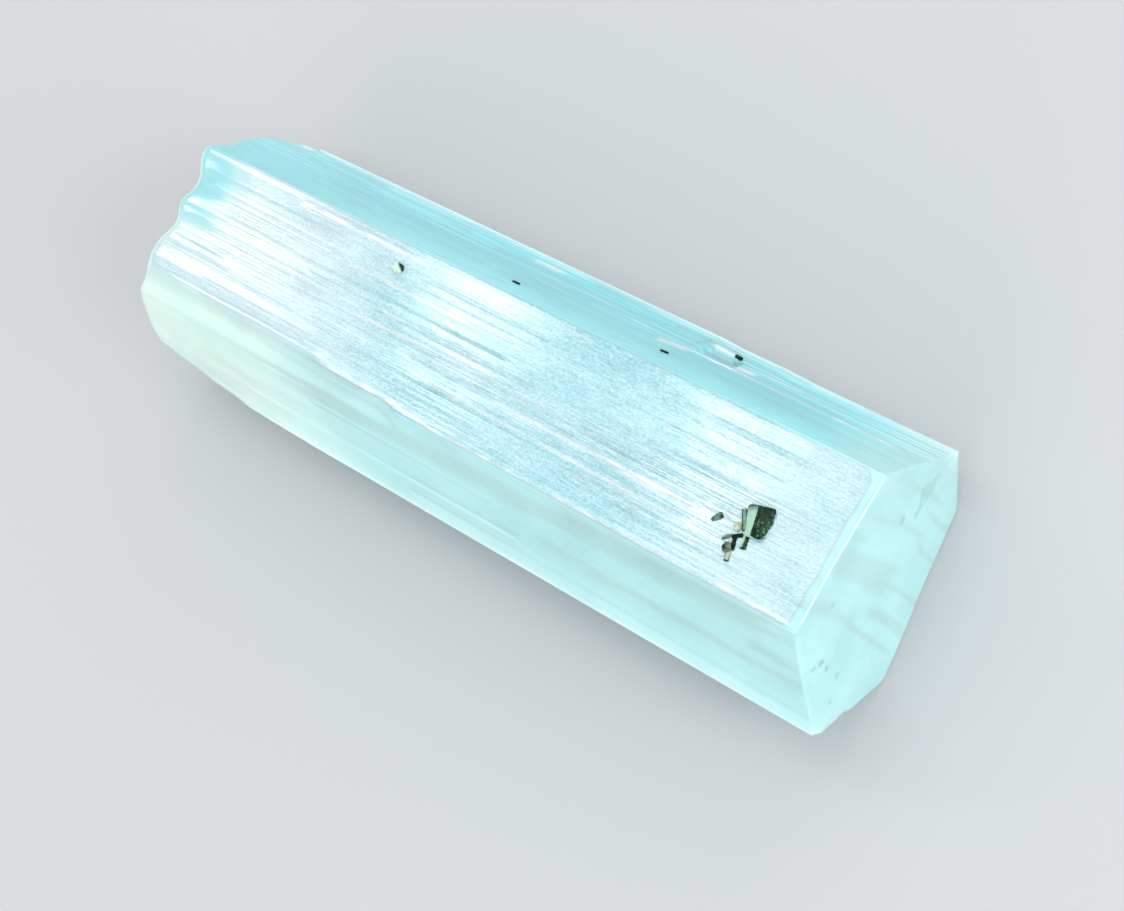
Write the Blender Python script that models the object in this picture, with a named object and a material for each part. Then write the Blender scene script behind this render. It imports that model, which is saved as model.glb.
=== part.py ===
"""A rough aquamarine crystal with small black tourmalines grown into it, as solids at their real size.

The crystal lies on one prism face, with the frosted main face opposite it on top. X runs along the crystal
from the broken root end to the flatter glassy end, Y across it from front to back, and Z up. The origin is
the middle of the underside of the bounding box.
"""

import math
import random
from collections.abc import Callable
from typing import NamedTuple

import bmesh
import bpy
from mathutils import Matrix, Vector, noise

MM = 0.001

# Section across the prism: the main face lies flat on top, and its two neighbours slope away from it.
MAIN_FACE = 12.0 * MM
BACK_FACE = 11.7 * MM
FRONT_FACE = 10.3 * MM
HEIGHT = 14.9 * MM
PRISM_ANGLE = math.radians(60)
REST_FRONT_Y = -5.2 * MM
REST_BACK_Y = 8.2 * MM
EDGE_CUT = 0.18 * MM

# Growth steps that run the whole length, as shallow ledges in each face but the one that it rests on.
STEP_WIDTH = (0.55 * MM, 1.7 * MM)
STEP_DEPTH = 0.09 * MM
STEP_RISER = 0.10 * MM
STEP_MARGIN = 0.5 * MM
STEP_SEED = 11

# The blank is longer than the crystal, and the two ends are cut from it.
BLANK_LENGTH = 78.0 * MM
BLOCK_REACH = 44.0 * MM
BLOCK_SIZE = 30.0 * MM

# Broken root end: a blunt dome, with lobes across its upper edge and a stepped, uneven break.
ROOT_X = -34.2 * MM
ROOT_DOME = 1.8 * MM
ROOT_SKEW = 0.06
LOBE_PITCH = 4.3 * MM
LOBE_DEPTH = 0.36 * MM
LOBE_FADE = 5.0 * MM
BREAK_GRAIN = 5.2 * MM
BREAK_STEP = 0.50 * MM
BREAK_DEPTH = 1.25 * MM
TREAD_SLOPE = 0.25
SPLINTER_GRAIN = 1.5 * MM
SPLINTER_DEPTH = 0.26 * MM
SPLINTER_STRETCH = 3.0
LOBE_CREST_Y = 2.7 * MM
SWELL_HEIGHT = 0.95 * MM
SWELL_REACH = 3.0 * MM
SWELL_Y = 4.7 * MM
SWELL_Z = 14.2 * MM
ROOT_CELLS = 52

# Glassy end: nearly square to the length, a little warped and softly uneven.
END_X = 33.75 * MM
END_TILT_Y = -0.066
END_TILT_Z = -0.090
END_WARP = 8.0
END_GRAIN = 4.5 * MM
END_DEPTH = 0.22 * MM
END_CELLS = 26

# The front middle edge is broken away along a slant that starts here and deepens towards the root.
BREAK_START_X = -20.5 * MM
BREAK_NORMAL = Vector((-0.1134, -0.99, -0.143))
BREAK_ROUGHNESS = 0.35 * MM
BREAK_BLOCK = 8.0 * MM
BREAK_CELLS = 14

GAP = 0.30 * MM
NEEDLE_GAP = 0.15 * MM

AQUAMARINE = ("aquamarine", (0.53, 0.82, 0.88), 0.22)
SCHORL = ("black tourmaline", (0.020, 0.035, 0.028), 0.18)
PALE_TOURMALINE = ("pale green tourmaline", (0.42, 0.55, 0.42), 0.30)


class Ledge(NamedTuple):
    """A strip let into a face, or raised on it: where it runs along X and across the face, and how deep."""

    face: str
    x0: float
    x1: float
    w0: float
    w1: float
    depth: float


class Chip(NamedTuple):
    """A conchoidal chip: the centre and radius of the ball that is scooped out."""

    centre: tuple
    radius: float


class Prism(NamedTuple):
    """A small prismatic crystal: its middle, the way its axis points, its size and its section.

    The section is a regular polygon, flattened and turned, or else has corners of its own.
    """

    centre: tuple
    axis: tuple
    radius: float
    length: float
    sides: int = 6
    flatten: float = 1.0
    turn: float = 0.0
    corners: tuple = ()


# Ledges in millimetres. On each face w is measured from the edge named first in face_frames.
LEDGES = (
    Ledge("front_upper", -37.0, -2.3, -0.7, 1.9, 0.42),
    Ledge("front_upper", -22.0, 9.0, 6.4, 7.3, 0.12),
    Ledge("front_upper", -4.0, 36.0, 8.3, 9.0, 0.14),
    Ledge("back_upper", 11.4, 36.0, 6.3, 12.4, 0.26),
    Ledge("back_upper", 17.0, 36.0, 8.7, 12.6, 0.42),
    Ledge("back_upper", 12.3, 16.8, 6.5, 11.0, 0.62),
    Ledge("back_upper", -29.5, -19.8, 5.9, 6.5, 0.18),
    Ledge("back_upper", -12.0, 9.5, 8.4, 9.6, 0.16),
    Ledge("back_upper", -38.0, -30.5, 9.2, 12.5, 0.34),
    Ledge("top", -36.0, -28.5, 7.4, 11.2, 0.38),
    Ledge("top", -36.0, -21.0, 3.4, 4.3, 0.24),
    Ledge("top", -36.0, -25.5, 5.6, 7.9, 0.20),
    Ledge("top", -8.5, 17.4, 4.9, 5.25, 0.13),
    Ledge("top", -5.7, 13.7, 4.15, 4.5, 0.16),
    Ledge("top", -12.0, 21.0, 2.6, 2.85, 0.12),
    Ledge("top", 2.0, 22.5, 3.3, 3.5, 0.14),
    Ledge("top", -20.0, 4.0, 7.2, 7.45, 0.10),
    Ledge("top", 6.0, 27.5, 8.3, 8.6, 0.11),
    Ledge("top", -8.0, 9.0, 9.9, 10.2, 0.10),
    Ledge("top", 12.5, 31.0, 10.3, 10.5, 0.10),
    Ledge("top", -30.0, -11.5, 0.9, 1.3, 0.12),
    Ledge("back_lower", -30.0, 20.0, 2.1, 3.4, 0.22),
    Ledge("back_lower", 4.0, 36.0, 3.9, 4.6, 0.16),
    Ledge("front_lower", -28.0, 36.0, 2.6, 3.9, 0.20),
    Ledge("front_lower", -12.0, 18.0, 5.2, 6.6, 0.26),
    Ledge("front_lower", -36.0, -6.0, 6.9, 7.6, 0.15),
    Ledge("rest", -36.0, 12.0, 1.3, 1.8, 0.14),
    Ledge("rest", -14.0, 36.0, 2.6, 2.9, 0.10),
    Ledge("rest", -36.0, 6.0, 10.9, 11.4, 0.12),
    Ledge("rest", 9.0, 36.0, 12.2, 12.6, 0.16),
)

# Raised growth ridges in millimetres, the same way.
RIDGES = (
    Ledge("top", 3.0, 23.4, 4.1, 4.55, 0.13),
    Ledge("top", -3.0, 22.6, 2.9, 3.2, 0.10),
    Ledge("top", -21.8, -8.4, 10.9, 11.5, 0.10),
    Ledge("top", -18.0, 12.0, 6.2, 6.6, 0.08),
    Ledge("top", -0.9, 32.3, 0.15, 0.45, 0.10),
    Ledge("top", 10.0, 26.0, 6.9, 7.2, 0.08),
    Ledge("top", -27.0, -9.0, 1.7, 2.1, 0.09),
    Ledge("back_upper", 12.0, 32.4, 5.6, 6.05, 0.14),
    Ledge("back_upper", -1.0, 8.0, 7.4, 7.7, 0.10),
    Ledge("front_upper", -14.0, 24.0, 4.1, 4.5, 0.08),
    Ledge("front_lower", -20.0, 24.0, 1.1, 1.5, 0.12),
    Ledge("back_lower", -24.0, 12.0, 1.0, 1.4, 0.12),
)

# Finer strips are scattered over the faces by seed: half of them are let in and half are raised.
FINE_SEED = 23
FINE_STRIPS = 5
FINE_LENGTH = (6.0, 26.0)
FINE_WIDTH = (0.22, 0.55)
FINE_DEPTH = (0.06, 0.12)
FINE_FIELD = (-28.0, 30.0)
FINE_MARGIN = 0.6

# A strip's bar reaches this far past the face. Its ends run out in a long slope and its sides in a short one.
LEDGE_RISE = 1.5 * MM
LEDGE_TAPER = 0.9 * MM
LEDGE_SLOPE = 0.35

# Chips in millimetres. A ball wider than FINE_CHIP gets a finer surface.
FINE_CHIP = 1.5
CHIP_UNEVENNESS = 0.10
CHIPS = (
    Chip((-36.3, -11.7, 7.7), 4.1),
    Chip((-35.2, 12.6, 4.0), 2.4),
    Chip((-35.0, 9.4, 0.2), 2.6),
    Chip((-34.6, -6.6, 0.0), 2.4),
    Chip((-31.2, -7.3, 15.6), 1.3),
    Chip((35.9, -12.3, 5.9), 1.35),
    Chip((35.6, -5.6, -0.6), 1.2),
    Chip((33.7, 12.4, 4.5), 1.0),
    Chip((34.0, 9.0, -0.5), 1.1),
    Chip((32.9, 7.6, 15.2), 1.7),
    Chip((34.2, -7.3, 15.5), 1.0),
    Chip((34.5, 6.8, 7.2), 1.2),
    Chip((-3.2, -12.2, 5.9), 0.8),
    Chip((11.4, -12.1, 5.7), 0.7),
    Chip((22.6, -12.25, 6.1), 0.85),
    Chip((-9.6, 12.2, 4.6), 0.8),
    Chip((20.6, 12.1, 4.9), 0.7),
    Chip((6.5, -5.9, -0.5), 0.8),
    Chip((-17.0, 8.9, -0.4), 0.9),
)

# Etch pits: six-sided, a few on the glassy end and on the frosted face, by seeded scatter.
PIT_SEED = 5
PIT_RADIUS = (0.25 * MM, 0.55 * MM)
PIT_DEPTH = 0.16 * MM
PIT_SIDES = 6
PIT_RIM = 3.0
END_PITS = 9
END_PIT_Y = (-8.5 * MM, 8.0 * MM)
END_PIT_Z = (3.0 * MM, 12.5 * MM)
TOP_PITS = 10
TOP_PIT_X = (-24.0 * MM, 22.0 * MM)
TOP_PIT_Y = (-4.5 * MM, 4.5 * MM)

# The tourmalines, in millimetres. The first prism of the cluster is the large dark one, with an uneven section.
DARK_SECTION = ((1.25, -0.36), (0.98, 0.88), (-1.14, 0.62), (-1.18, -0.04), (-0.82, -0.58), (0.16, -0.95))
CLUSTER = (
    Prism((26.707, -1.147, 14.641), (0.7207, 0.0914, 0.6872), 1.0, 2.5, corners=DARK_SECTION),
    Prism((25.98, -1.32, 14.88), (0.57, -0.82, 0.10), 0.27, 1.6),
    Prism((26.08, -2.46, 14.90), (0.83, 0.55, 0.05), 0.17, 0.85),
    Prism((26.07, -3.03, 14.92), (0.28, -0.95, 0.10), 0.17, 1.0),
    Prism((25.77, -3.42, 14.84), (0.30, -0.40, 0.85), 0.38, 1.0),
    Prism((26.68, -2.42, 14.84), (0.21, -0.97, 0.10), 0.27, 1.5),
    Prism((26.12, -3.95, 14.88), (0.28, -0.93, 0.15), 0.22, 0.9),
    Prism((25.78, -1.85, 14.86), (-0.30, -0.50, 0.80), 0.30, 0.8),
)
GRAIN = Prism((24.05, -1.97, 14.82), (0.60, 0.75, 0.28), 0.28, 0.85)
BEAD = Prism((-9.95, 3.41, 14.76), (0.45, 0.25, 0.86), 0.55, 1.2, 7, 0.9)
NEEDLES = (
    Prism((-1.22, 6.85, 12.85), (1.0, 0.04, -0.10), 0.14, 0.65),
    Prism((12.60, 7.10, 12.40), (1.0, 0.10, -0.20), 0.14, 0.65),
    Prism((15.32, 10.15, 6.95), (0.95, -0.10, 0.25), 0.21, 0.70),
)
TIP_DRAW = 0.30
TIP_RISE = 0.22


def clear_scene() -> None:
    """Removes what the startup scene holds."""
    for thing in list(bpy.data.objects):
        bpy.data.objects.remove(thing)


def new_collection(name: str) -> bpy.types.Collection:
    """A collection linked to the scene."""
    collection = bpy.data.collections.new(name)
    bpy.context.scene.collection.children.link(collection)
    return collection


def new_material(name: str, colour: tuple, roughness: float) -> bpy.types.Material:
    """A plain Principled material."""
    material = bpy.data.materials.new(name)
    material.use_nodes = True
    shader = material.node_tree.nodes["Principled BSDF"]
    shader.inputs["Base Color"].default_value = (*colour, 1.0)
    shader.inputs["Roughness"].default_value = roughness
    shader.inputs["Metallic"].default_value = 0.0
    material.diffuse_color = (*colour, 1.0)
    return material


def object_from(shape: bmesh.types.BMesh, name: str, collection: bpy.types.Collection) -> bpy.types.Object:
    """An object of this name that holds the shape, which is freed."""
    shape.normal_update()
    bmesh.ops.recalc_face_normals(shape, faces=shape.faces)
    mesh = bpy.data.meshes.new(name)
    shape.to_mesh(mesh)
    shape.free()
    thing = bpy.data.objects.new(name, mesh)
    collection.objects.link(thing)
    return thing


def as_cutter(thing: bpy.types.Object) -> bpy.types.Object:
    """Keeps a cutter out of the model."""
    thing.hide_render = True
    thing.display_type = "WIRE"
    return thing


def boolean(thing: bpy.types.Object, operation: str, collection: bpy.types.Collection) -> None:
    """Cuts every object of a collection from the thing, or joins them to it, one after another."""
    for other in collection.objects:
        modifier = thing.modifiers.new(other.name, "BOOLEAN")
        modifier.operation = operation
        modifier.solver = "EXACT"
        modifier.object = other


def section_corners() -> dict[str, Vector]:
    """The six corners of the section, as (y, z), with the widest two equally far from the middle."""
    step = math.cos(PRISM_ANGLE)
    drop = math.sin(PRISM_ANGLE)
    back_top_y = (MAIN_FACE + (FRONT_FACE - BACK_FACE) * step) / 2
    front_top_y = back_top_y - MAIN_FACE
    return {
        "back_middle": Vector((back_top_y + BACK_FACE * step, HEIGHT - BACK_FACE * drop)),
        "back_top": Vector((back_top_y, HEIGHT)),
        "front_top": Vector((front_top_y, HEIGHT)),
        "front_middle": Vector((front_top_y - FRONT_FACE * step, HEIGHT - FRONT_FACE * drop)),
        "front_rest": Vector((REST_FRONT_Y, 0.0)),
        "back_rest": Vector((REST_BACK_Y, 0.0)),
    }


def face_frames() -> dict[str, tuple[Vector, Vector, Vector]]:
    """For each prism face: the corner that w is measured from, the way across, and the outward normal."""
    corners = section_corners()
    ends = {
        "top": ("front_top", "back_top"),
        "back_upper": ("back_top", "back_middle"),
        "front_upper": ("front_top", "front_middle"),
        "back_lower": ("back_middle", "back_rest"),
        "front_lower": ("front_middle", "front_rest"),
        "rest": ("front_rest", "back_rest"),
    }
    middle = Vector((0.0, HEIGHT / 2))
    frames = {}
    for face, (first, last) in ends.items():
        start = corners[first]
        across = (corners[last] - start).normalized()
        outward = Vector((across.y, -across.x))
        if outward.dot(start - middle) < 0:
            outward.negate()
        frames[face] = (
            Vector((0.0, start.x, start.y)),
            Vector((0.0, across.x, across.y)),
            Vector((0.0, outward.x, outward.y)),
        )
    return frames


def stepped_edge(start: Vector, end: Vector, dice: random.Random) -> list[Vector]:
    """Points from one corner of the section towards the next, with ledges let in between them."""
    length = (end - start).length
    across = (end - start) / length
    inward = Vector((-across.y, across.x))
    points = [start + across * EDGE_CUT]
    resting = start.y == 0.0 and end.y == 0.0
    at = length if resting else STEP_MARGIN
    while at < length - STEP_MARGIN:
        last = min(at + dice.uniform(*STEP_WIDTH), length - STEP_MARGIN)
        depth = dice.uniform(0.0, STEP_DEPTH)
        points.append(start + across * at + inward * depth)
        points.append(start + across * last + inward * depth)
        at = last + STEP_RISER
    points.append(end - across * EDGE_CUT)
    return points


def section_outline() -> list[Vector]:
    """The whole stepped outline, anticlockwise seen from the glassy end."""
    corners = section_corners()
    order = ["back_middle", "back_top", "front_top", "front_middle", "front_rest", "back_rest"]
    dice = random.Random(STEP_SEED)
    outline = []
    for index, name in enumerate(order):
        following = order[(index + 1) % len(order)]
        outline += stepped_edge(corners[name], corners[following], dice)
    return outline


def prism_blank(collection: bpy.types.Collection) -> bpy.types.Object:
    """The section as a filled curve, extruded along X and made a mesh."""
    curve = bpy.data.curves.new("blank", "CURVE")
    curve.dimensions = "2D"
    curve.fill_mode = "BOTH"
    curve.extrude = BLANK_LENGTH / 2
    outline = section_outline()
    spline = curve.splines.new("POLY")
    spline.points.add(len(outline) - 1)
    for point, corner in zip(spline.points, outline):
        point.co = (corner.x, corner.y, 0.0, 1.0)
    spline.use_cyclic_u = True
    drawn = bpy.data.objects.new("blank", curve)
    collection.objects.link(drawn)
    # The curve's own X becomes Y, its Y becomes Z, and its extrusion runs along X.
    drawn.matrix_world = Matrix(((0, 0, 1, 0), (1, 0, 0, 0), (0, 1, 0, 0), (0, 0, 0, 1)))
    bpy.context.view_layer.update()
    graph = bpy.context.evaluated_depsgraph_get()
    mesh = bpy.data.meshes.new_from_object(drawn.evaluated_get(graph))
    mesh.transform(drawn.matrix_world)
    bpy.data.objects.remove(drawn)
    shape = bmesh.new()
    shape.from_mesh(mesh)
    bpy.data.meshes.remove(mesh)
    bmesh.ops.remove_doubles(shape, verts=shape.verts, dist=0.001 * MM)
    return object_from(shape, "aquamarine_crystal", collection)


def terraced(value: float, step: float) -> float:
    """Draws a smooth height towards flat treads, with steep rises between them."""
    count = value / step
    tread = math.floor(count)
    part = count - tread
    rise = part * part * part * (part * (part * 6 - 15) + 10)
    return (tread + TREAD_SLOPE * part + (1 - TREAD_SLOPE) * rise) * step


def root_surface(y: float, z: float) -> float:
    """X of the broken root end: a dome, a skew, lobes at its upper edge, terraces, splinters and a swell."""
    middle = HEIGHT / 2
    dome = ROOT_DOME * ((z - middle) / middle) ** 2
    skew = -ROOT_SKEW * y
    fade = math.exp(-abs(HEIGHT - z) / LOBE_FADE)
    lobes = fade * LOBE_DEPTH * math.cos(2 * math.pi * (y - LOBE_CREST_Y) / LOBE_PITCH)
    coarse = BREAK_DEPTH * noise.noise(Vector((1.7, y / BREAK_GRAIN, z / BREAK_GRAIN)))
    # The splinters are longer up the break than they are wide across it.
    splinter = noise.noise(Vector((6.1, y / SPLINTER_GRAIN, z / SPLINTER_GRAIN / SPLINTER_STRETCH)))
    away = math.hypot(y - SWELL_Y, z - SWELL_Z) / SWELL_REACH
    swell = SWELL_HEIGHT * math.exp(-away * away)
    steps = terraced(coarse, BREAK_STEP)
    return ROOT_X + dome + skew + lobes + steps + SPLINTER_DEPTH * splinter - swell


def end_surface(y: float, z: float) -> float:
    """X of the glassy end: a tilted, slightly warped plane with soft hollows."""
    rise = z - HEIGHT / 2
    hollow = END_DEPTH * noise.noise(Vector((4.3, y / END_GRAIN, z / END_GRAIN)))
    return END_X + END_TILT_Y * y + END_TILT_Z * rise + END_WARP * y * rise + hollow


Surface = Callable[[float, float], float]


def end_block(name: str, surface: Surface, far_x: float, cells: int, collection) -> None:
    """A cutter whose inner wall is x = surface(y, z), from a grid drawn out to far_x."""
    shape = bmesh.new()
    bmesh.ops.create_grid(shape, x_segments=cells, y_segments=cells, size=0.5)
    for vert in shape.verts:
        y = vert.co.x * BLOCK_SIZE
        z = vert.co.y * BLOCK_SIZE + HEIGHT / 2
        vert.co = (surface(y, z), y, z)
    drawn = bmesh.ops.extrude_face_region(shape, geom=shape.faces[:])
    for vert in drawn["geom"]:
        if isinstance(vert, bmesh.types.BMVert):
            vert.co.x = far_x
    as_cutter(object_from(shape, name, collection))


def corner_break(collection: bpy.types.Collection) -> None:
    """The slanting break along the front middle edge: a rough grid set on the slant and drawn outwards."""
    corner = section_corners()["front_middle"]
    outward = BREAK_NORMAL.normalized()
    along = (Vector((1, 0, 0)) - outward * outward.x).normalized()
    across = outward.cross(along)
    start = Vector((BREAK_START_X, corner.x, corner.y))
    shape = bmesh.new()
    bmesh.ops.create_grid(shape, x_segments=BREAK_CELLS * 2, y_segments=BREAK_CELLS, size=0.5)
    for vert in shape.verts:
        spot = start + along * (vert.co.x - 0.5) * BLOCK_SIZE + across * vert.co.y * BLOCK_SIZE / 2
        rough = BREAK_ROUGHNESS * noise.noise(spot / BREAK_GRAIN)
        vert.co = spot + outward * rough
    drawn = bmesh.ops.extrude_face_region(shape, geom=shape.faces[:])
    for vert in drawn["geom"]:
        if isinstance(vert, bmesh.types.BMVert):
            vert.co += outward * BREAK_BLOCK
    as_cutter(object_from(shape, "corner_break", collection))


def strip(ledge: Ledge, name: str, raised: bool, collection: bpy.types.Collection) -> None:
    """A long bar along a face, with sloping ends and sides.

    A ledge's bar reaches from its floor to above the face, and a ridge's from inside the crystal to its top.
    """
    corner, across, outward = face_frames()[ledge.face]
    low, high = (-LEDGE_RISE, ledge.depth * MM) if raised else (-ledge.depth * MM, LEDGE_RISE)
    shape = bmesh.new()
    bmesh.ops.create_cube(shape, size=1.0)
    slope = LEDGE_SLOPE * ledge.depth * MM
    for vert in shape.verts:
        side_x = math.copysign(1, vert.co.x)
        side_w = math.copysign(1, vert.co.y)
        top = vert.co.z > 0
        drawn_in = 1 if top == raised else 0
        x = (ledge.x1 if side_x > 0 else ledge.x0) * MM - side_x * LEDGE_TAPER * drawn_in
        w = (ledge.w1 if side_w > 0 else ledge.w0) * MM - side_w * slope * drawn_in
        vert.co = corner + Vector((x, 0, 0)) + across * w + outward * (high if top else low)
    as_cutter(object_from(shape, name, collection))


def fine_strips(ledges: bpy.types.Collection, ridges: bpy.types.Collection) -> None:
    """Short fine growth lines on every face but the one it rests on, by turns let in and raised."""
    dice = random.Random(FINE_SEED)
    corners = section_corners()
    lower_back = (corners["back_middle"] - corners["back_rest"]).length
    lower_front = (corners["front_middle"] - corners["front_rest"]).length
    widths = {"top": MAIN_FACE, "back_upper": BACK_FACE, "front_upper": FRONT_FACE}
    widths |= {"back_lower": lower_back, "front_lower": lower_front}
    for face, width in widths.items():
        for index in range(FINE_STRIPS):
            length = dice.uniform(*FINE_LENGTH)
            x0 = dice.uniform(FINE_FIELD[0], FINE_FIELD[1] - length)
            w1 = dice.uniform(FINE_MARGIN + FINE_WIDTH[1], width / MM - FINE_MARGIN)
            w0 = w1 - dice.uniform(*FINE_WIDTH)
            ledge = Ledge(face, x0, x0 + length, w0, w1, dice.uniform(*FINE_DEPTH))
            raised = index % 2 == 1
            strip(ledge, f"fine_{face}_{index}", raised, ridges if raised else ledges)


def chip(cut: Chip, index: int, collection: bpy.types.Collection) -> None:
    """A scooped chip: a ball with a slightly uneven surface."""
    shape = bmesh.new()
    detail = 3 if cut.radius > FINE_CHIP else 2
    bmesh.ops.create_icosphere(shape, subdivisions=detail, radius=cut.radius * MM)
    middle = Vector(cut.centre) * MM
    for vert in shape.verts:
        vert.co *= 1 + CHIP_UNEVENNESS * noise.noise(vert.co / MM + Vector((index, 0, 0)))
        vert.co += middle
    as_cutter(object_from(shape, f"chip_{index}", collection))


def pit(middle: Vector, outward: Vector, name: str, dice: random.Random, collection) -> None:
    """A six-sided etch pit of random size and turn: a shallow cone that points into the crystal."""
    radius = dice.uniform(*PIT_RADIUS)
    shape = bmesh.new()
    bmesh.ops.create_cone(
        shape,
        cap_ends=True,
        segments=PIT_SIDES,
        radius1=radius / PIT_RIM,
        radius2=radius * PIT_RIM,
        depth=PIT_DEPTH * PIT_RIM,
    )
    place = Matrix.Translation(middle) @ outward.to_track_quat("Z", "Y").to_matrix().to_4x4()
    turn = Matrix.Rotation(dice.uniform(0, math.pi), 4, "Z")
    lift = Matrix.Translation((0, 0, PIT_DEPTH * (PIT_RIM / 2 - 1)))
    bmesh.ops.transform(shape, matrix=place @ turn @ lift, verts=shape.verts)
    as_cutter(object_from(shape, name, collection))


def etch_pits(collection: bpy.types.Collection) -> None:
    """Seeded pits on the glassy end and the frosted face, clear of the edges and the tourmalines."""
    dice = random.Random(PIT_SEED)
    for index in range(END_PITS):
        y = dice.uniform(*END_PIT_Y)
        z = dice.uniform(*END_PIT_Z)
        pit(Vector((end_surface(y, z), y, z)), Vector((1, 0, 0)), f"end_pit_{index}", dice, collection)
    for index in range(TOP_PITS):
        x = dice.uniform(*TOP_PIT_X)
        y = dice.uniform(*TOP_PIT_Y)
        pit(Vector((x, y, HEIGHT)), Vector((0, 0, 1)), f"top_pit_{index}", dice, collection)


def grown_section(corners: tuple, grow: float) -> list[Vector]:
    """The given corners, in anticlockwise order, with every side moved outwards by the margin."""
    points = [Vector(corner) * MM for corner in corners]
    normals = []
    for here, following in zip(points, points[1:] + points[:1]):
        side = (following - here).normalized()
        normals.append(Vector((side.y, -side.x)))
    grown = []
    for point, before, after in zip(points, normals[-1:] + normals[:-1], normals):
        grown.append(point + (before + after) * grow / (1 + before.dot(after)))
    return grown


def prism_section(spec: Prism, grow: float) -> list[Vector]:
    """The corners of a small crystal's section, grown by the margin."""
    if spec.corners:
        return grown_section(spec.corners, grow)
    radius = spec.radius * MM + grow
    section = []
    for index in range(spec.sides):
        angle = math.radians(spec.turn + 90 + index * 360 / spec.sides)
        section.append(Vector((spec.flatten * radius * math.cos(angle), radius * math.sin(angle))))
    return section


def prism_shape(spec: Prism, grow: float = 0.0) -> bmesh.types.BMesh:
    """A small crystal with a low truncated point, grown all round by the given margin."""
    shape = bmesh.new()
    radius = spec.radius * MM + grow
    length = spec.length * MM + 2 * grow
    section = prism_section(spec, grow)
    base = shape.faces.new([shape.verts.new((*corner, -length / 2)) for corner in section])
    top = bmesh.ops.extrude_face_region(shape, geom=[base])["geom"]
    rise = length - TIP_RISE * radius
    bmesh.ops.translate(shape, vec=(0, 0, rise), verts=[v for v in top if isinstance(v, bmesh.types.BMVert)])
    bmesh.ops.recalc_face_normals(shape, faces=shape.faces)
    tip = max(shape.faces, key=lambda face: face.calc_center_median().z)
    bmesh.ops.inset_region(shape, faces=[tip], thickness=TIP_DRAW * radius)
    tip = max(shape.faces, key=lambda face: face.calc_center_median().z)
    for vert in tip.verts:
        vert.co.z += TIP_RISE * radius
    place = Matrix.Translation(Vector(spec.centre) * MM)
    aim = Vector(spec.axis).to_track_quat("Z", "Y").to_matrix().to_4x4()
    bmesh.ops.transform(shape, matrix=place @ aim, verts=shape.verts)
    return shape


def small_crystal(name: str, specs: tuple, material: bpy.types.Material, gap: float, groups: dict) -> None:
    """One tourmaline node, its extra prisms joined to it, and the open pocket that it sits in."""
    body = object_from(prism_shape(specs[0]), name, groups["model"])
    body.data.materials.append(material)
    if len(specs) > 1:
        for index, spec in enumerate(specs[1:], 1):
            as_cutter(object_from(prism_shape(spec), f"{name}_prism_{index}", groups["prisms"]))
        boolean(body, "UNION", groups["prisms"])
    for index, spec in enumerate(specs):
        as_cutter(object_from(prism_shape(spec, gap), f"{name}_pocket_{index}", groups["pockets"]))


def build_crystal(groups: dict) -> None:
    """The aquamarine: the blank, then the raised ridges and each kind of cut, in order."""
    crystal = prism_blank(groups["model"])
    crystal.data.materials.append(new_material(*AQUAMARINE))
    end_block("root_block", root_surface, -BLOCK_REACH, ROOT_CELLS, groups["ends"])
    end_block("end_block", end_surface, BLOCK_REACH, END_CELLS, groups["ends"])
    corner_break(groups["breaks"])
    for index, cut in enumerate(CHIPS):
        chip(cut, index, groups["breaks"])
    for index, ledge in enumerate(LEDGES):
        strip(ledge, f"ledge_{index}", False, groups["ledges"])
    for index, ledge in enumerate(RIDGES):
        strip(ledge, f"ridge_{index}", True, groups["ridges"])
    fine_strips(groups["ledges"], groups["ridges"])
    etch_pits(groups["pits"])
    boolean(crystal, "UNION", groups["ridges"])
    for name in ("ledges", "ends", "breaks", "pits", "pockets"):
        boolean(crystal, "DIFFERENCE", groups[name])


def main() -> None:
    """Builds the tourmalines and their pockets, then the crystal that the pockets are cut from."""
    clear_scene()
    groups = {"model": new_collection("rough_aquamarine_crystal")}
    cutters = new_collection("cutters")
    for name in ("prisms", "pockets", "ridges", "ledges", "ends", "breaks", "pits"):
        groups[name] = bpy.data.collections.new(name)
        cutters.children.link(groups[name])
    schorl = new_material(*SCHORL)
    pale = new_material(*PALE_TOURMALINE)
    small_crystal("tourmaline_cluster", CLUSTER, schorl, GAP, groups)
    small_crystal("tourmaline_grain", (GRAIN,), schorl, GAP, groups)
    small_crystal("tourmaline_bead", (BEAD,), pale, GAP, groups)
    for index, needle in enumerate(NEEDLES, 1):
        small_crystal(f"tourmaline_needle_{index}", (needle,), schorl, NEEDLE_GAP, groups)
    build_crystal(groups)


main()
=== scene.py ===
"""The looks of a rough aquamarine crystal with small black tourmalines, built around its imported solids.

The crystal is one closed surface on a two-parameter grid. One parameter runs from the middle of the broken
root end, along the prism, to the middle of the glassy end, and the other runs round the section. Shapes are
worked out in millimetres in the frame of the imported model, and become metres as a mesh is written.
"""

import logging
import math
import random
from dataclasses import dataclass, field
from enum import Enum

import bpy
import numpy as np
from mathutils import Matrix, Vector, noise

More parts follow.
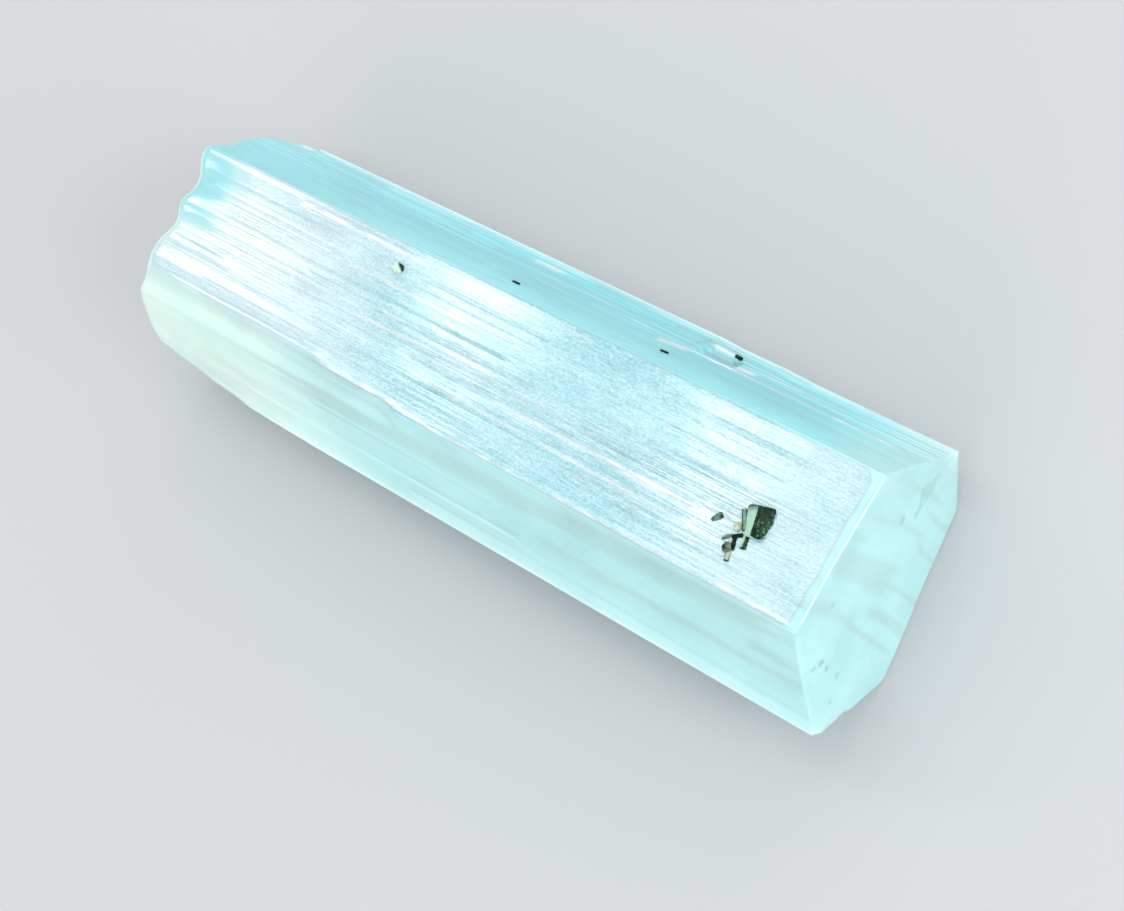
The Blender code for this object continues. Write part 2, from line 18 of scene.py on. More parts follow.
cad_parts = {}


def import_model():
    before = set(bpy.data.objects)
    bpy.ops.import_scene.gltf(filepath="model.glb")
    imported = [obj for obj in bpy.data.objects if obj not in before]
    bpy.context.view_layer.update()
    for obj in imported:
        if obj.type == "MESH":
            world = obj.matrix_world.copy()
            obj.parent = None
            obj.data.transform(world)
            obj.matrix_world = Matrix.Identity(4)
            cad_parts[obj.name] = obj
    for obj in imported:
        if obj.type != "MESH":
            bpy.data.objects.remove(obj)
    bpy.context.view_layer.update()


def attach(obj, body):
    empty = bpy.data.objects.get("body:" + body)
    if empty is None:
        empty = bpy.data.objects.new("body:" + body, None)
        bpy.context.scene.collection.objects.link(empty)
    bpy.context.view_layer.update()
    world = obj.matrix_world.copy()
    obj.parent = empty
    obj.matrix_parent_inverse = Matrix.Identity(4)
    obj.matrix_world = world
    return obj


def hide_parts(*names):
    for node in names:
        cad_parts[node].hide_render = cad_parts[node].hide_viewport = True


LOG = logging.getLogger("aquamarine")
MM = 0.001
HASH_STEPS = (374761393, 668265263, 2147483629)
HASH_FIRST = 1274126177
HASH_LAST = 461845907
HASH_KEPT = 0x7FFFFFFF

Pair = tuple[float, float]
Triple = tuple[float, float, float]
Colour = tuple[float, float, float, float]
Socket = bpy.types.NodeSocket


def smooth_step(low: float, high: float, value: np.ndarray) -> np.ndarray:
    """Blends from 0 to 1 between two values by 3t^2 - 2t^3.

    Args:
        low: The value at which the result is 0.
        high: The value at which the result is 1.
        value: The numbers to blend.

    Returns:
        The blend for each number.
    """
    part = np.clip((value - low) / (high - low), 0.0, 1.0)
    return part * part * (3.0 - 2.0 * part)


def softly_over(value: np.ndarray, soft: float, reach: float) -> np.ndarray:
    """The part of a distance that is over 0, rounded near 0 by (d + sqrt(d^2 + s^2)) / 2.

    Args:
        value: The distances.
        soft: The rounding, s.
        reach: How many times the rounding below 0 the result is cut to 0.

    Returns:
        The rounded distances.
    """
    over = (value + np.sqrt(value**2 + soft**2)) / 2
    return np.where(value > -reach * soft, over, 0.0)


def terraced(value: np.ndarray, step: float, slope: float = 0.25) -> np.ndarray:
    """Draws smooth heights towards flat treads, with steep rises of 6t^5 - 15t^4 + 10t^3 between them.

    Args:
        value: The smooth heights.
        step: The height from one tread to the next.
        slope: The share of each step that is climbed evenly.

    Returns:
        The stepped heights.
    """
    count = value / step
    tread = np.floor(count)
    part = count - tread
    rise = part**3 * (part * (part * 6.0 - 15.0) + 10.0)
    return (tread + slope * part + (1.0 - slope) * rise) * step


@dataclass(frozen=True)
class Grain:
    """Smooth random relief in space, from -1 to 1.

    Each point of a lattice gets a number from a hash of its whole coordinates and the seed. Between the
    lattice points, the eight nearest numbers are blended by the smooth step 3t^2 - 2t^3. The pitch is the
    lattice's spacing along X, Y and Z, in millimetres, and the shift keeps two reliefs of one seed apart.
    """

    pitch: Triple
    shift: float = 0.0
    seed: int = 7

    def corner(self, i: np.ndarray, j: np.ndarray, k: np.ndarray) -> np.ndarray:
        """The number from -1 to 1 at each lattice point."""
        mixed = i * HASH_STEPS[0] + j * HASH_STEPS[1] + k * HASH_STEPS[2] + self.seed * HASH_FIRST
        mixed = (mixed ^ (mixed >> 13)) * HASH_FIRST & HASH_KEPT
        mixed = (mixed ^ (mixed >> 11)) * HASH_LAST & HASH_KEPT
        return (mixed & 0xFFFF) / 32767.5 - 1.0

    def at(self, points: np.ndarray) -> np.ndarray:
        """The relief at each point.

        Args:
            points: Points in millimetres, in the last axis of the array.

        Returns:
            The relief, without the last axis.
        """
        place = (points + self.shift) / np.array(self.pitch)
        whole = np.floor(place).astype(np.int64)
        part = place - whole
        part = part * part * (3.0 - 2.0 * part)
        total = np.zeros(points.shape[:-1])
        for corner in range(8):
            offset = np.array([corner & 1, corner >> 1 & 1, corner >> 2 & 1])
            share = np.where(offset == 1, part, 1.0 - part).prod(axis=-1)
            total += share * self.corner(*np.moveaxis(whole + offset, -1, 0))
        return total


@dataclass(frozen=True)
class BreakSheet:
    """The smooth noise of a broken surface, as the solids have it.

    It is taken on a square lattice across the section, and between the lattice points the four nearest
    values are blended in proportion.
    """

    layer: float
    grain_y: float
    grain_z: float
    reach: float = 15.0
    cells: int = 110

    def at(self, y: np.ndarray, z: np.ndarray, middle: float) -> np.ndarray:
        """The noise at places on the section.

        Args:
            y: Places across, in millimetres.
            z: Heights, in millimetres.
            middle: The height of the lattice's centre.

        Returns:
            The noise, from about -1 to 1.
        """
        spots = np.linspace(-self.reach, self.reach, self.cells + 1)
        sheet = np.array(
            [
                [
                    noise.noise(Vector((self.layer, a / self.grain_y, (middle + b) / self.grain_z)))
                    for b in spots
                ]
                for a in spots
            ]
        )
        scale = self.cells / (2.0 * self.reach)
        across = np.clip((y + self.reach) * scale, 0.0, self.cells - 1e-6)
        up = np.clip((z - middle + self.reach) * scale, 0.0, self.cells - 1e-6)
        i, j = across.astype(int), up.astype(int)
        u, v = across - i, up - j
        near = sheet[i, j] * (1 - v) + sheet[i, j + 1] * v
        far = sheet[i + 1, j] * (1 - v) + sheet[i + 1, j + 1] * v
        return near * (1 - u) + far * u


@dataclass
class ClosedGrid:
    """A closed surface of rings, each ring joined to the next, with a pole point at either end.

    Rings run anticlockwise seen from the last pole, so that the faces point outwards. Marks are numbers on
    the same grid, which the material reads.
    """

    rings: np.ndarray
    first_pole: np.ndarray
    last_pole: np.ndarray
    marks: dict[str, np.ndarray] = field(default_factory=dict)

    def points(self) -> np.ndarray:
        """Every point in one list: the rings in order, then the two poles."""
        return np.vstack([self.rings.reshape(-1, 3), self.first_pole, self.last_pole])

    def faces(self) -> tuple[np.ndarray, np.ndarray]:
        """The four-sided faces between the rings, and the fans of triangles at the two poles.

        Returns:
            The corner numbers of the four-sided faces and of the triangles.
        """
        rows, columns = self.rings.shape[:2]
        here = np.arange(columns)
        following = (here + 1) % columns
        start = np.arange(rows - 1)[:, None] * columns
        quads = np.stack(
            [start + here, start + following, start + columns + following, start + columns + here], -1
        )
        first, last = rows * columns, rows * columns + 1
        end = (rows - 1) * columns
        near = np.stack([np.full(columns, first), following, here], -1)
        far = np.stack([np.full(columns, last), end + here, end + following], -1)
        return quads.reshape(-1, 4), np.vstack([near, far])

    def mark_values(self, name: str) -> np.ndarray:
        """One number for each point, with each pole taking the mean of the ring beside it."""
        marks = self.marks[name]
        return np.concatenate([marks.ravel(), [marks[0].mean(), marks[-1].mean()]])


def piece_from(name: str, grids: list[ClosedGrid], sharp_degrees: float) -> bpy.types.Object:
    """Makes one object of closed grids, in metres, with its marks as attributes.

    Args:
        name: The piece's name.
        grids: The closed surfaces, which may overlap.
        sharp_degrees: Edges that bend more than this stay sharp.

    Returns:
        The new object, at the origin.
    """
    points, quads, fans, start = [], [], [], 0
    for grid in grids:
        sides, caps = grid.faces()
        points.append(grid.points() * MM)
        quads.append(sides + start)
        fans.append(caps + start)
        start += len(points[-1])
    quads, fans = np.vstack(quads), np.vstack(fans)
    mesh = bpy.data.meshes.new(name)
    mesh.vertices.add(start)
    mesh.vertices.foreach_set("co", np.vstack(points).astype(np.float32).ravel())
    corners = np.concatenate([quads.ravel(), fans.ravel()]).astype(np.int32)
    mesh.loops.add(len(corners))
    mesh.loops.foreach_set("vertex_index", corners)
    mesh.polygons.add(len(quads) + len(fans))
    starts = np.concatenate([np.arange(len(quads)) * 4, len(quads) * 4 + np.arange(len(fans)) * 3])
    mesh.polygons.foreach_set("loop_start", starts.astype(np.int32))
    mesh.update(calc_edges=True)
    for mark in grids[0].marks:
        attribute = mesh.attributes.new(mark, "FLOAT", "POINT")
        values = np.concatenate([grid.mark_values(mark) for grid in grids])
        attribute.data.foreach_set("value", values.astype(np.float32))
    mesh.shade_smooth()
    mesh.set_sharp_from_angle(angle=math.radians(sharp_degrees))
    piece = bpy.data.objects.new(name, mesh)
    bpy.context.scene.collection.objects.link(piece)
    return piece


class Face(Enum):
    """The six prism faces, each by the corner that its width is measured from and the corner it runs to."""

    BACK_UPPER = ("back_top", "back_middle")
    TOP = ("front_top", "back_top")
    FRONT_UPPER = ("front_top", "front_middle")
    FRONT_LOWER = ("front_middle", "front_rest")
    REST = ("front_rest", "back_rest")
    BACK_LOWER = ("back_middle", "back_rest")


SMOOTHER = (Face.BACK_UPPER, Face.TOP, Face.FRONT_UPPER)


@dataclass(frozen=True)
class Section:
    """The crystal's hexagonal section, in millimetres, as Y and Z."""

    main_face: float = 12.0
    back_face: float = 11.7
    front_face: float = 10.3
    height: float = 14.9
    prism_angle: float = math.radians(60)
    rest_front_y: float = -5.2
    rest_back_y: float = 8.2

    def corners(self) -> dict[str, np.ndarray]:
        """The six corners by name, with the widest two equally far from the middle."""
        step, drop = math.cos(self.prism_angle), math.sin(self.prism_angle)
        back_top = (self.main_face + (self.front_face - self.back_face) * step) / 2
        front_top = back_top - self.main_face
        back = (back_top + self.back_face * step, self.height - self.back_face * drop)
        front = (front_top - self.front_face * step, self.height - self.front_face * drop)
        return {
            "back_middle": np.array(back),
            "back_top": np.array((back_top, self.height)),
            "front_top": np.array((front_top, self.height)),
            "front_middle": np.array(front),
            "front_rest": np.array((self.rest_front_y, 0.0)),
            "back_rest": np.array((self.rest_back_y, 0.0)),
        }

    def frame(self, face: Face) -> tuple[np.ndarray, np.ndarray, np.ndarray]:
        """A face's own frame.

        Args:
            face: The face.

        Returns:
            Where its width starts, the way across it and its outward normal, each as X, Y and Z.
        """
        corners = self.corners()
        start, end = (corners[name] for name in face.value)
        across = (end - start) / np.linalg.norm(end - start)
        outward = np.array([across[1], -across[0]])
        if outward @ (start - np.array([0.0, self.height / 2])) < 0:
            outward = -outward
        return tuple(np.array([0.0, *flat]) for flat in (start, across, outward))


@dataclass(frozen=True)
class Strip:
    """A growth strip on one face, in millimetres: a ledge let in by its depth, or a ridge raised by it.

    It runs from x0 to x1 along X and from w0 to w1 across the face. Its sides rise within soft and its ends
    within fade, and its ends are uneven by ragged.
    """

    face: Face
    x0: float
    x1: float
    w0: float
    w1: float
    depth: float
    raised: bool = False
    soft: float = 0.14
    fade: float = 0.5
    ragged: float = 0.45


@dataclass(frozen=True)
class Chip:
    """A conchoidal chip, in millimetres: the centre and radius of the ball that is scooped out."""

    centre: Triple
    radius: float


@dataclass(frozen=True)
class Streak:
    """A line on a face, in millimetres along X and across the face, with its width and its strength.

    A strength over 0 is a white line, and one under 0 is a dark one.
    """

    face: Face
    x0: float
    w0: float
    x1: float
    w1: float
    width: float
    strength: float


@dataclass(frozen=True)
class Spot:
    """A round stain or speck on the glassy end, in millimetres, with its strength."""

    y: float
    z: float
    radius: float
    strength: float


RECESS = Strip(Face.BACK_UPPER, 12.3, 16.8, 6.5, 9.1, 0.34, soft=0.4, fade=0.7, ragged=0.12)

LEDGES = (
    Strip(Face.FRONT_UPPER, -37.0, -2.3, -0.7, 2.6, 0.42, soft=1.9, fade=2.5),
    Strip(Face.FRONT_UPPER, -22.0, 9.0, 6.4, 7.3, 0.12),
    Strip(Face.FRONT_UPPER, -4.0, 36.0, 8.3, 9.0, 0.14),
    Strip(Face.BACK_UPPER, 11.4, 36.0, 6.3, 12.4, 0.20, soft=0.3, fade=4.0, ragged=0.0),
    Strip(Face.BACK_UPPER, 17.0, 36.0, 8.7, 12.6, 0.30, soft=0.3, fade=4.0, ragged=0.0),
    RECESS,
    Strip(Face.BACK_UPPER, -29.5, -19.8, 5.9, 6.5, 0.18),
    Strip(Face.BACK_UPPER, -12.0, 9.5, 8.4, 9.6, 0.16),
    Strip(Face.BACK_UPPER, -38.0, -30.5, 9.2, 12.5, 0.34),
    Strip(Face.TOP, -36.0, -28.5, 7.4, 11.2, 0.16, soft=1.5, fade=6.0),
    Strip(Face.TOP, -36.0, -21.0, 3.2, 4.5, 0.10, soft=0.55, fade=11.0),
    Strip(Face.TOP, -36.0, -25.5, 5.4, 8.1, 0.08, soft=0.9, fade=8.0),
    Strip(Face.TOP, -8.5, 17.4, 4.9, 5.25, 0.13),
    Strip(Face.TOP, -5.7, 13.7, 4.15, 4.5, 0.16),
    Strip(Face.TOP, -12.0, 21.0, 2.6, 2.85, 0.12),
    Strip(Face.TOP, 2.0, 22.5, 3.3, 3.5, 0.14),
    Strip(Face.TOP, -20.0, 4.0, 7.2, 7.45, 0.10),
    Strip(Face.TOP, 6.0, 27.5, 8.3, 8.6, 0.11),
    Strip(Face.TOP, -8.0, 9.0, 9.9, 10.2, 0.10),
    Strip(Face.TOP, 12.5, 31.0, 10.3, 10.5, 0.10),
    Strip(Face.TOP, -30.0, -11.5, 0.9, 1.3, 0.12),
    Strip(Face.BACK_LOWER, -30.0, 20.0, 2.1, 3.4, 0.22),
    Strip(Face.BACK_LOWER, 4.0, 36.0, 3.9, 4.6, 0.16),
    Strip(Face.FRONT_LOWER, -28.0, 36.0, 2.6, 3.9, 0.20),
    Strip(Face.FRONT_LOWER, -12.0, 18.0, 5.2, 6.6, 0.26),
    Strip(Face.FRONT_LOWER, -36.0, -6.0, 6.9, 7.6, 0.15),
    Strip(Face.REST, -36.0, 12.0, 1.3, 1.8, 0.14),
    Strip(Face.REST, -14.0, 36.0, 2.6, 2.9, 0.10),
    Strip(Face.REST, -36.0, 6.0, 10.9, 11.4, 0.12),
    Strip(Face.REST, 9.0, 36.0, 12.2, 12.6, 0.16),
)

RIDGES = (
    Strip(Face.TOP, 3.0, 23.4, 4.1, 4.55, 0.13, True),
    Strip(Face.TOP, -3.0, 22.6, 2.9, 3.2, 0.10, True),
    Strip(Face.TOP, -21.8, -8.4, 10.9, 11.5, 0.10, True),
    Strip(Face.TOP, -18.0, 12.0, 6.2, 6.6, 0.08, True),
    Strip(Face.TOP, -0.9, 32.3, 0.15, 0.45, 0.10, True),
    Strip(Face.TOP, 10.0, 26.0, 6.9, 7.2, 0.08, True),
    Strip(Face.TOP, -27.0, -9.0, 1.7, 2.1, 0.09, True),
    Strip(Face.BACK_UPPER, 12.0, 32.4, 5.6, 6.05, 0.14, True),
    Strip(Face.BACK_UPPER, -1.0, 8.0, 7.4, 7.7, 0.10, True),
    Strip(Face.FRONT_UPPER, -14.0, 24.0, 4.1, 4.5, 0.08, True),
    Strip(Face.FRONT_LOWER, -20.0, 24.0, 1.1, 1.5, 0.12, True),
    Strip(Face.BACK_LOWER, -24.0, 12.0, 1.0, 1.4, 0.12, True),
)

CHIPS = (
    Chip((-36.3, -11.7, 7.7), 3.8),
    Chip((-35.2, 12.6, 4.0), 2.4),
    Chip((-35.0, 9.4, 0.2), 2.6),
    Chip((-34.6, -6.6, 0.0), 2.4),
    Chip((-31.2, -7.3, 15.6), 1.3),
    Chip((35.9, -12.3, 5.9), 1.75),
    Chip((35.6, -5.6, -0.6), 1.2),
    Chip((33.7, 12.4, 4.5), 1.0),
    Chip((34.0, 9.0, -0.5), 1.1),
    Chip((32.9, 7.6, 15.2), 1.7),
    Chip((34.2, -7.3, 15.5), 1.0),
    Chip((34.5, 6.8, 7.2), 1.2),
    Chip((-3.2, -12.2, 5.9), 0.8),
    Chip((11.4, -12.1, 5.7), 0.7),
    Chip((22.6, -12.25, 6.1), 0.85),
    Chip((-9.6, 12.2, 4.6), 0.8),
    Chip((20.6, 12.1, 4.9), 0.7),
    Chip((6.5, -5.9, -0.5), 0.8),
    Chip((-17.0, 8.9, -0.4), 0.9),
)

STREAKS = (
    Streak(Face.TOP, -8.5, 5.25, 17.4, 4.95, 0.10, 0.6),
    Streak(Face.TOP, -5.7, 4.45, 13.8, 4.35, 0.10, 0.5),
    Streak(Face.TOP, 2.0, 4.30, 14.0, 4.25, 0.16, 0.8),
    Streak(Face.TOP, 11.0, 4.28, 23.6, 4.20, 0.30, 1.0),
    Streak(Face.TOP, -3.0, 3.15, 12.0, 3.05, 0.12, 0.6),
    Streak(Face.TOP, 8.0, 3.05, 22.6, 3.00, 0.18, 0.7),
    Streak(Face.TOP, 8.0, 2.25, 20.0, 2.15, 0.10, 0.4),
    # Painted glint: the bright bevel along the main face's front edge.
    Streak(Face.TOP, -0.9, 0.22, 32.6, 0.34, 0.14, 1.0),
    Streak(Face.TOP, -11.7, 0.60, -2.9, 0.55, 0.22, 1.0),
    Streak(Face.TOP, -27.0, 1.75, -9.0, 1.85, 0.18, 0.4),
    Streak(Face.TOP, -21.8, 11.25, -8.4, 11.05, 0.26, 0.9),
    Streak(Face.TOP, -7.6, 11.40, 9.1, 11.40, 0.12, 0.5),
    Streak(Face.TOP, -18.0, 6.45, 12.0, 6.35, 0.10, 0.4),
    Streak(Face.TOP, -14.0, 8.55, -2.0, 8.45, 0.18, 0.6),
    Streak(Face.TOP, 6.0, 8.35, 27.5, 8.35, 0.08, 0.3),
    Streak(Face.TOP, -30.0, 8.95, -17.0, 8.75, 0.14, 0.4),
    Streak(Face.TOP, -9.0, 5.55, 16.0, 5.25, 0.06, -0.8),
    Streak(Face.TOP, -4.0, 4.75, 13.0, 4.62, 0.06, -0.9),
    Streak(Face.TOP, 0.0, 3.80, 21.0, 3.70, 0.05, -0.6),
    Streak(Face.TOP, -12.0, 2.65, 9.0, 2.55, 0.05, -0.4),
    Streak(Face.TOP, -24.0, 9.80, -12.0, 9.60, 0.05, -0.4),
    Streak(Face.TOP, -20.0, 11.95, 30.0, 11.92, 0.07, -0.7),
    Streak(Face.TOP, -28.8, 4.15, -20.8, 4.05, 0.10, -0.5),
    Streak(Face.TOP, 2.0, 0.75, 30.0, 0.72, 0.05, -0.5),
    Streak(Face.BACK_UPPER, 12.3, 5.80, 31.5, 5.95, 0.25, 1.0),
    Streak(Face.BACK_UPPER, 10.4, 4.90, 12.9, 5.65, 0.55, 0.8),
    Streak(Face.BACK_UPPER, 17.5, 8.35, 31.5, 8.95, 0.15, 0.9),
    Streak(Face.BACK_UPPER, 12.8, 9.35, 15.0, 9.30, 0.42, 1.0),
    Streak(Face.BACK_UPPER, 16.2, 7.25, 18.0, 7.45, 0.45, 0.9),
    Streak(Face.BACK_UPPER, -1.4, 5.25, 2.2, 5.40, 0.07, 0.9),
    Streak(Face.BACK_UPPER, 3.6, 5.75, 6.6, 5.85, 0.06, 0.7),
    Streak(Face.BACK_UPPER, -0.4, 6.60, 1.0, 6.65, 0.10, 0.7),
    Streak(Face.BACK_UPPER, 1.6, 7.35, 6.4, 7.40, 0.08, 0.6),
    Streak(Face.BACK_UPPER, -5.0, 9.40, -2.0, 9.50, 0.30, 0.7),
    Streak(Face.BACK_UPPER, 12.2, 6.45, 12.4, 11.0, 0.14, -0.8),
    Streak(Face.BACK_UPPER, 12.4, 10.6, 14.6, 10.2, 0.12, -0.9),
    Streak(Face.BACK_UPPER, -28.4, 6.08, -20.3, 6.16, 0.20, -1.2),
    Streak(Face.BACK_UPPER, -8.5, 0.50, -1.5, 1.35, 0.12, -0.5),
    Streak(Face.BACK_UPPER, 8.6, 0.95, 10.6, 1.45, 0.12, -0.5),
)

STAINS = (
    Spot(7.1, 7.3, 0.95, 0.42),
    Spot(7.9, 6.7, 0.65, 0.38),
    Spot(8.8, 6.4, 0.45, 0.32),
    Spot(6.2, 7.0, 0.45, 0.50),
    Spot(5.6, 7.2, 0.34, 0.65),
    Spot(4.4, 9.0, 0.34, 0.60),
    Spot(-6.93, 9.93, 0.28, 0.9),
    Spot(-6.99, 8.85, 0.30, 1.0),
    Spot(-7.57, 10.31, 0.28, 0.6),
    Spot(-6.95, 7.09, 0.28, 0.5),
    Spot(-8.88, 6.42, 0.28, 0.6),
    Spot(-3.28, 12.28, 0.24, 0.5),
)


@dataclass(frozen=True)
class Aquamarine:
    """The crystal: its section, its two ends, its growth strips and its chips, all in millimetres."""

    section: Section = Section()
    edge_cut: float = 0.18
    step_width: Pair = (0.55, 1.7)
    step_depth: float = 0.09
    smoother_share: float = 0.3
    step_riser: float = 0.10
    step_margin: float = 0.5
    step_seed: int = 11
    root_x: float = -34.2
    root_dome: float = 1.8
    root_skew: float = 0.06
    root_swell: float = 0.95
    swell_y: float = 4.7
    swell_z: float = 14.2
    swell_reach: float = 3.0
    root_relief: Grain = Grain((0.7, 0.5, 1.1))
    root_relief_depth: float = 0.05
    root_relief_x: Pair = (-30.0, -34.0)
    lobe_pitch: float = 4.3
    lobe_depth: float = 0.36
    lobe_fade: float = 5.0
    lobe_crest_y: float = 2.7
    break_grain: float = 5.2
    break_step: float = 0.50
    break_depth: float = 1.25
    splinter_grain: float = 1.5
    splinter_depth: float = 0.26
    splinter_stretch: float = 3.0
    end_x: float = 33.75
    end_tilt_y: float = -0.066
    end_tilt_z: float = -0.090
    end_warp: float = 0.008
    end_grain: float = 4.5
    end_depth: float = 0.12
    break_start_x: float = -20.5
    break_normal: Triple = (-0.1134, -0.99, -0.143)
    break_relief: Grain = Grain((3.4, 2.4, 2.4), 30.0)
    break_relief_depth: float = 0.22
    break_fine: Grain = Grain((0.9, 0.7, 0.7), 10.0)
    break_fine_depth: float = 0.06
    break_soft: float = 0.30
    break_soft_reach: float = 2.5
    steepest_way: float = 0.2
    core_margin: float = 9.0
    chip_relief: Grain = Grain((0.8, 0.8, 0.8))
    chip_relief_share: float = 0.05
    chip_shift: float = 9.0
    strip_ragged: Grain = Grain((1.1, 0.45, 0.45))
    strip_run_out: float = 0.55
    narrow_strip: float = 0.7
    narrow_share: float = 0.4
    root_round: float = 0.34
    end_round: float = 0.24
    round_angles: Triple = (30.0, 60.0, 90.0)
    edge_round_way: Triple = (0.0, -0.5, math.sqrt(0.75))
    edge_round_depth: float = 0.40
    edge_round_soft: float = 0.40
    edge_round_soft_reach: float = 3.0
    edge_round_x: Pair = (-8.0, -18.0)
    line_grain: Grain = Grain((17.0, 0.34, 0.34))
    line_share: float = 0.6
    band_grain: Grain = Grain((26.0, 1.3, 1.3), 50.0)
    band_share: float = 0.4
    line_step: float = 0.25
    line_slope: float = 0.1
    line_depths: tuple[float, ...] = (0.002, 0.007, 0.003, 0.025, 0.004, 0.025)
    roll_grain: Grain = Grain((9.0, 4.0, 4.0), 90.0)
    roll_depths: tuple[float, ...] = (0.020, 0.010, 0.030, 0.030, 0.0, 0.030)
    side_rows: int = 196
    row_spots: int = 2001
    cap_rings: int = 33
    close_rows: tuple[Triple, ...] = ((0.72, 0.045, 2.6), (0.99, 0.02, 3.0))
    columns: tuple[int, ...] = (100, 110, 60, 36, 32, 26)
    sharp_degrees: float = 24.0
    box_low: Triple = (-35.095, -11.405, 0.0)
    box_high: Triple = (35.045, 11.405, 15.985)

    def loop_faces(self) -> list[Face]:
        """The faces in the order that the section runs, anticlockwise seen from the glassy end."""
        return [Face.BACK_UPPER, Face.TOP, Face.FRONT_UPPER, Face.FRONT_LOWER, Face.REST, Face.BACK_LOWER]

    def runs_with_width(self, face: Face) -> bool:
        """True if the section runs along this face from the corner that its width is measured from."""
        return face in (Face.FRONT_UPPER, Face.FRONT_LOWER, Face.REST)

    def step_profile(self, length: float, face: Face, dice: random.Random) -> np.ndarray:
        """The growth steps of one face as distances along the section and depths.

        Args:
            length: The face's width.
            face: The face. The one that the crystal rests on has no steps.
            dice: The shared random source.

        Returns:
            Rows of distance and depth.
        """
        points = [(0.0, 0.0), (self.edge_cut, 0.0)]
        at = length if face is Face.REST else self.step_margin
        deepest = self.step_depth * (self.smoother_share if face in SMOOTHER else 1.0)
        while at < length - self.step_margin:
            last = min(at + dice.uniform(*self.step_width), length - self.step_margin)
            depth = dice.uniform(0.0, deepest)
            points += [(at, depth), (last, depth)]
            at = last + self.step_riser
        return np.array([*points, (length - self.edge_cut, 0.0), (length, 0.0)])

    def outline(self) -> tuple[np.ndarray, np.ndarray, np.ndarray]:
        """The stepped section as columns of the grid.

        Returns:
            The columns' places and outward normals, each as Y and Z, and each column's number in Face.
        """
        corners = self.section.corners()
        dice = random.Random(self.step_seed)
        places, normals, numbers = [], [], []
        for count, face in zip(self.columns, self.loop_faces()):
            first, last = face.value if self.runs_with_width(face) else face.value[::-1]
            start, end = corners[first], corners[last]
            length = float(np.linalg.norm(end - start))
            across = (end - start) / length
            outward = np.array([across[1], -across[0]])
            profile = self.step_profile(length, face, dice)
            at = np.linspace(self.edge_cut, length - self.edge_cut, count)
            depth = np.interp(at, profile[:, 0], profile[:, 1])
            places.append(start + across * at[:, None] - outward * depth[:, None])
            normals.append(np.repeat(outward[None], count, axis=0))
            numbers.append(np.full(count, list(Face).index(face)))
        return np.vstack(places), np.vstack(normals), np.concatenate(numbers)

    def root_surface(self, y: np.ndarray, z: np.ndarray) -> np.ndarray:
        """The broken root end: a dome, a skew, lobes by its upper edge, terraces, splinters and a swell.

        Args:
            y: Places across, in millimetres.
            z: Heights, in millimetres.

        Returns:
            X at each place.
        """
        middle = self.section.height / 2
        dome = self.root_dome * ((z - middle) / middle) ** 2
        fade = np.exp(-np.abs(self.section.height - z) / self.lobe_fade)
        lobes = fade * self.lobe_depth * np.cos(2 * math.pi * (y - self.lobe_crest_y) / self.lobe_pitch)
        coarse = BreakSheet(1.7, self.break_grain, self.break_grain).at(y, z, middle)
        long_grain = self.splinter_grain * self.splinter_stretch
        splinter = BreakSheet(6.1, self.splinter_grain, long_grain).at(y, z, middle)
        steps = terraced(self.break_depth * coarse, self.break_step)
        away = np.hypot(y - self.swell_y, z - self.swell_z) / self.swell_reach
        base = self.root_x + dome - self.root_skew * y
        return base + lobes + steps + self.splinter_depth * splinter - self.root_swell * np.exp(-away * away)

    def end_surface(self, y: np.ndarray, z: np.ndarray) -> np.ndarray:
        """The glassy end: a tilted, slightly warped plane with soft hollows.

        Args:
            y: Places across, in millimetres.
            z: Heights, in millimetres.

        Returns:
            X at each place.
        """
        rise = z - self.section.height / 2
        hollow = BreakSheet(4.3, self.end_grain, self.end_grain).at(y, z, self.section.height / 2)
        tilt = self.end_tilt_y * y + self.end_tilt_z * rise + self.end_warp * y * rise
        return self.end_x + tilt + self.end_depth * hollow

    def strip_reach(self, strip: Strip, points: np.ndarray) -> np.ndarray:
        """How far each point lies inside a strip's plan, from 0 outside to 1 inside.

        Args:
            strip: The ledge or ridge.
            points: Points in millimetres.

        Returns:
            The product of a ramp along X, with ragged ends, and one across the face.
        """
        start, across, _ = self.section.frame(strip.face)
        w = (points - start) @ across
        ragged = strip.ragged * self.strip_ragged.at(points + strip.x1)
        along = np.minimum(points[..., 0] - strip.x0, strip.x1 - points[..., 0]) - self.strip_run_out
        first = 1.0 if strip.w0 < 0 else np.clip((w - strip.w0) / strip.soft, 0.0, 1.0)
        last = np.clip((strip.w1 - w) / strip.soft, 0.0, 1.0)
        return smooth_step(0.0, strip.fade, along + ragged) * smooth_step(0.0, 1.0, np.minimum(first, last))

    def with_strips(self, points: np.ndarray, numbers: np.ndarray) -> np.ndarray:
        """The side with its ridges raised and its ledges cut.

        A point in a ridge moves out to the ridge's top. A point in a ledge's bar, also one of the next face
        at a shared edge, moves back along the ledge's normal to its floor.

        Args:
            points: The side's grid of points.
            numbers: Each column's face.

        Returns:
            The moved points.
        """
        points = points.copy()
        for strip in (*RIDGES, *LEDGES):
            start, _, outward = self.section.frame(strip.face)
            height = (points - start) @ outward
            own = numbers == list(Face).index(strip.face)
            if strip.raised:
                lift = np.where(own, strip.depth - height, 0.0)
            else:
                lift = np.minimum(-strip.depth - height, 0.0)
            reach = self.strip_reach(strip, points)
            if strip.w1 - strip.w0 < self.narrow_strip:
                reach *= self.narrow_share
            points += (reach * lift)[..., None] * outward
        return points

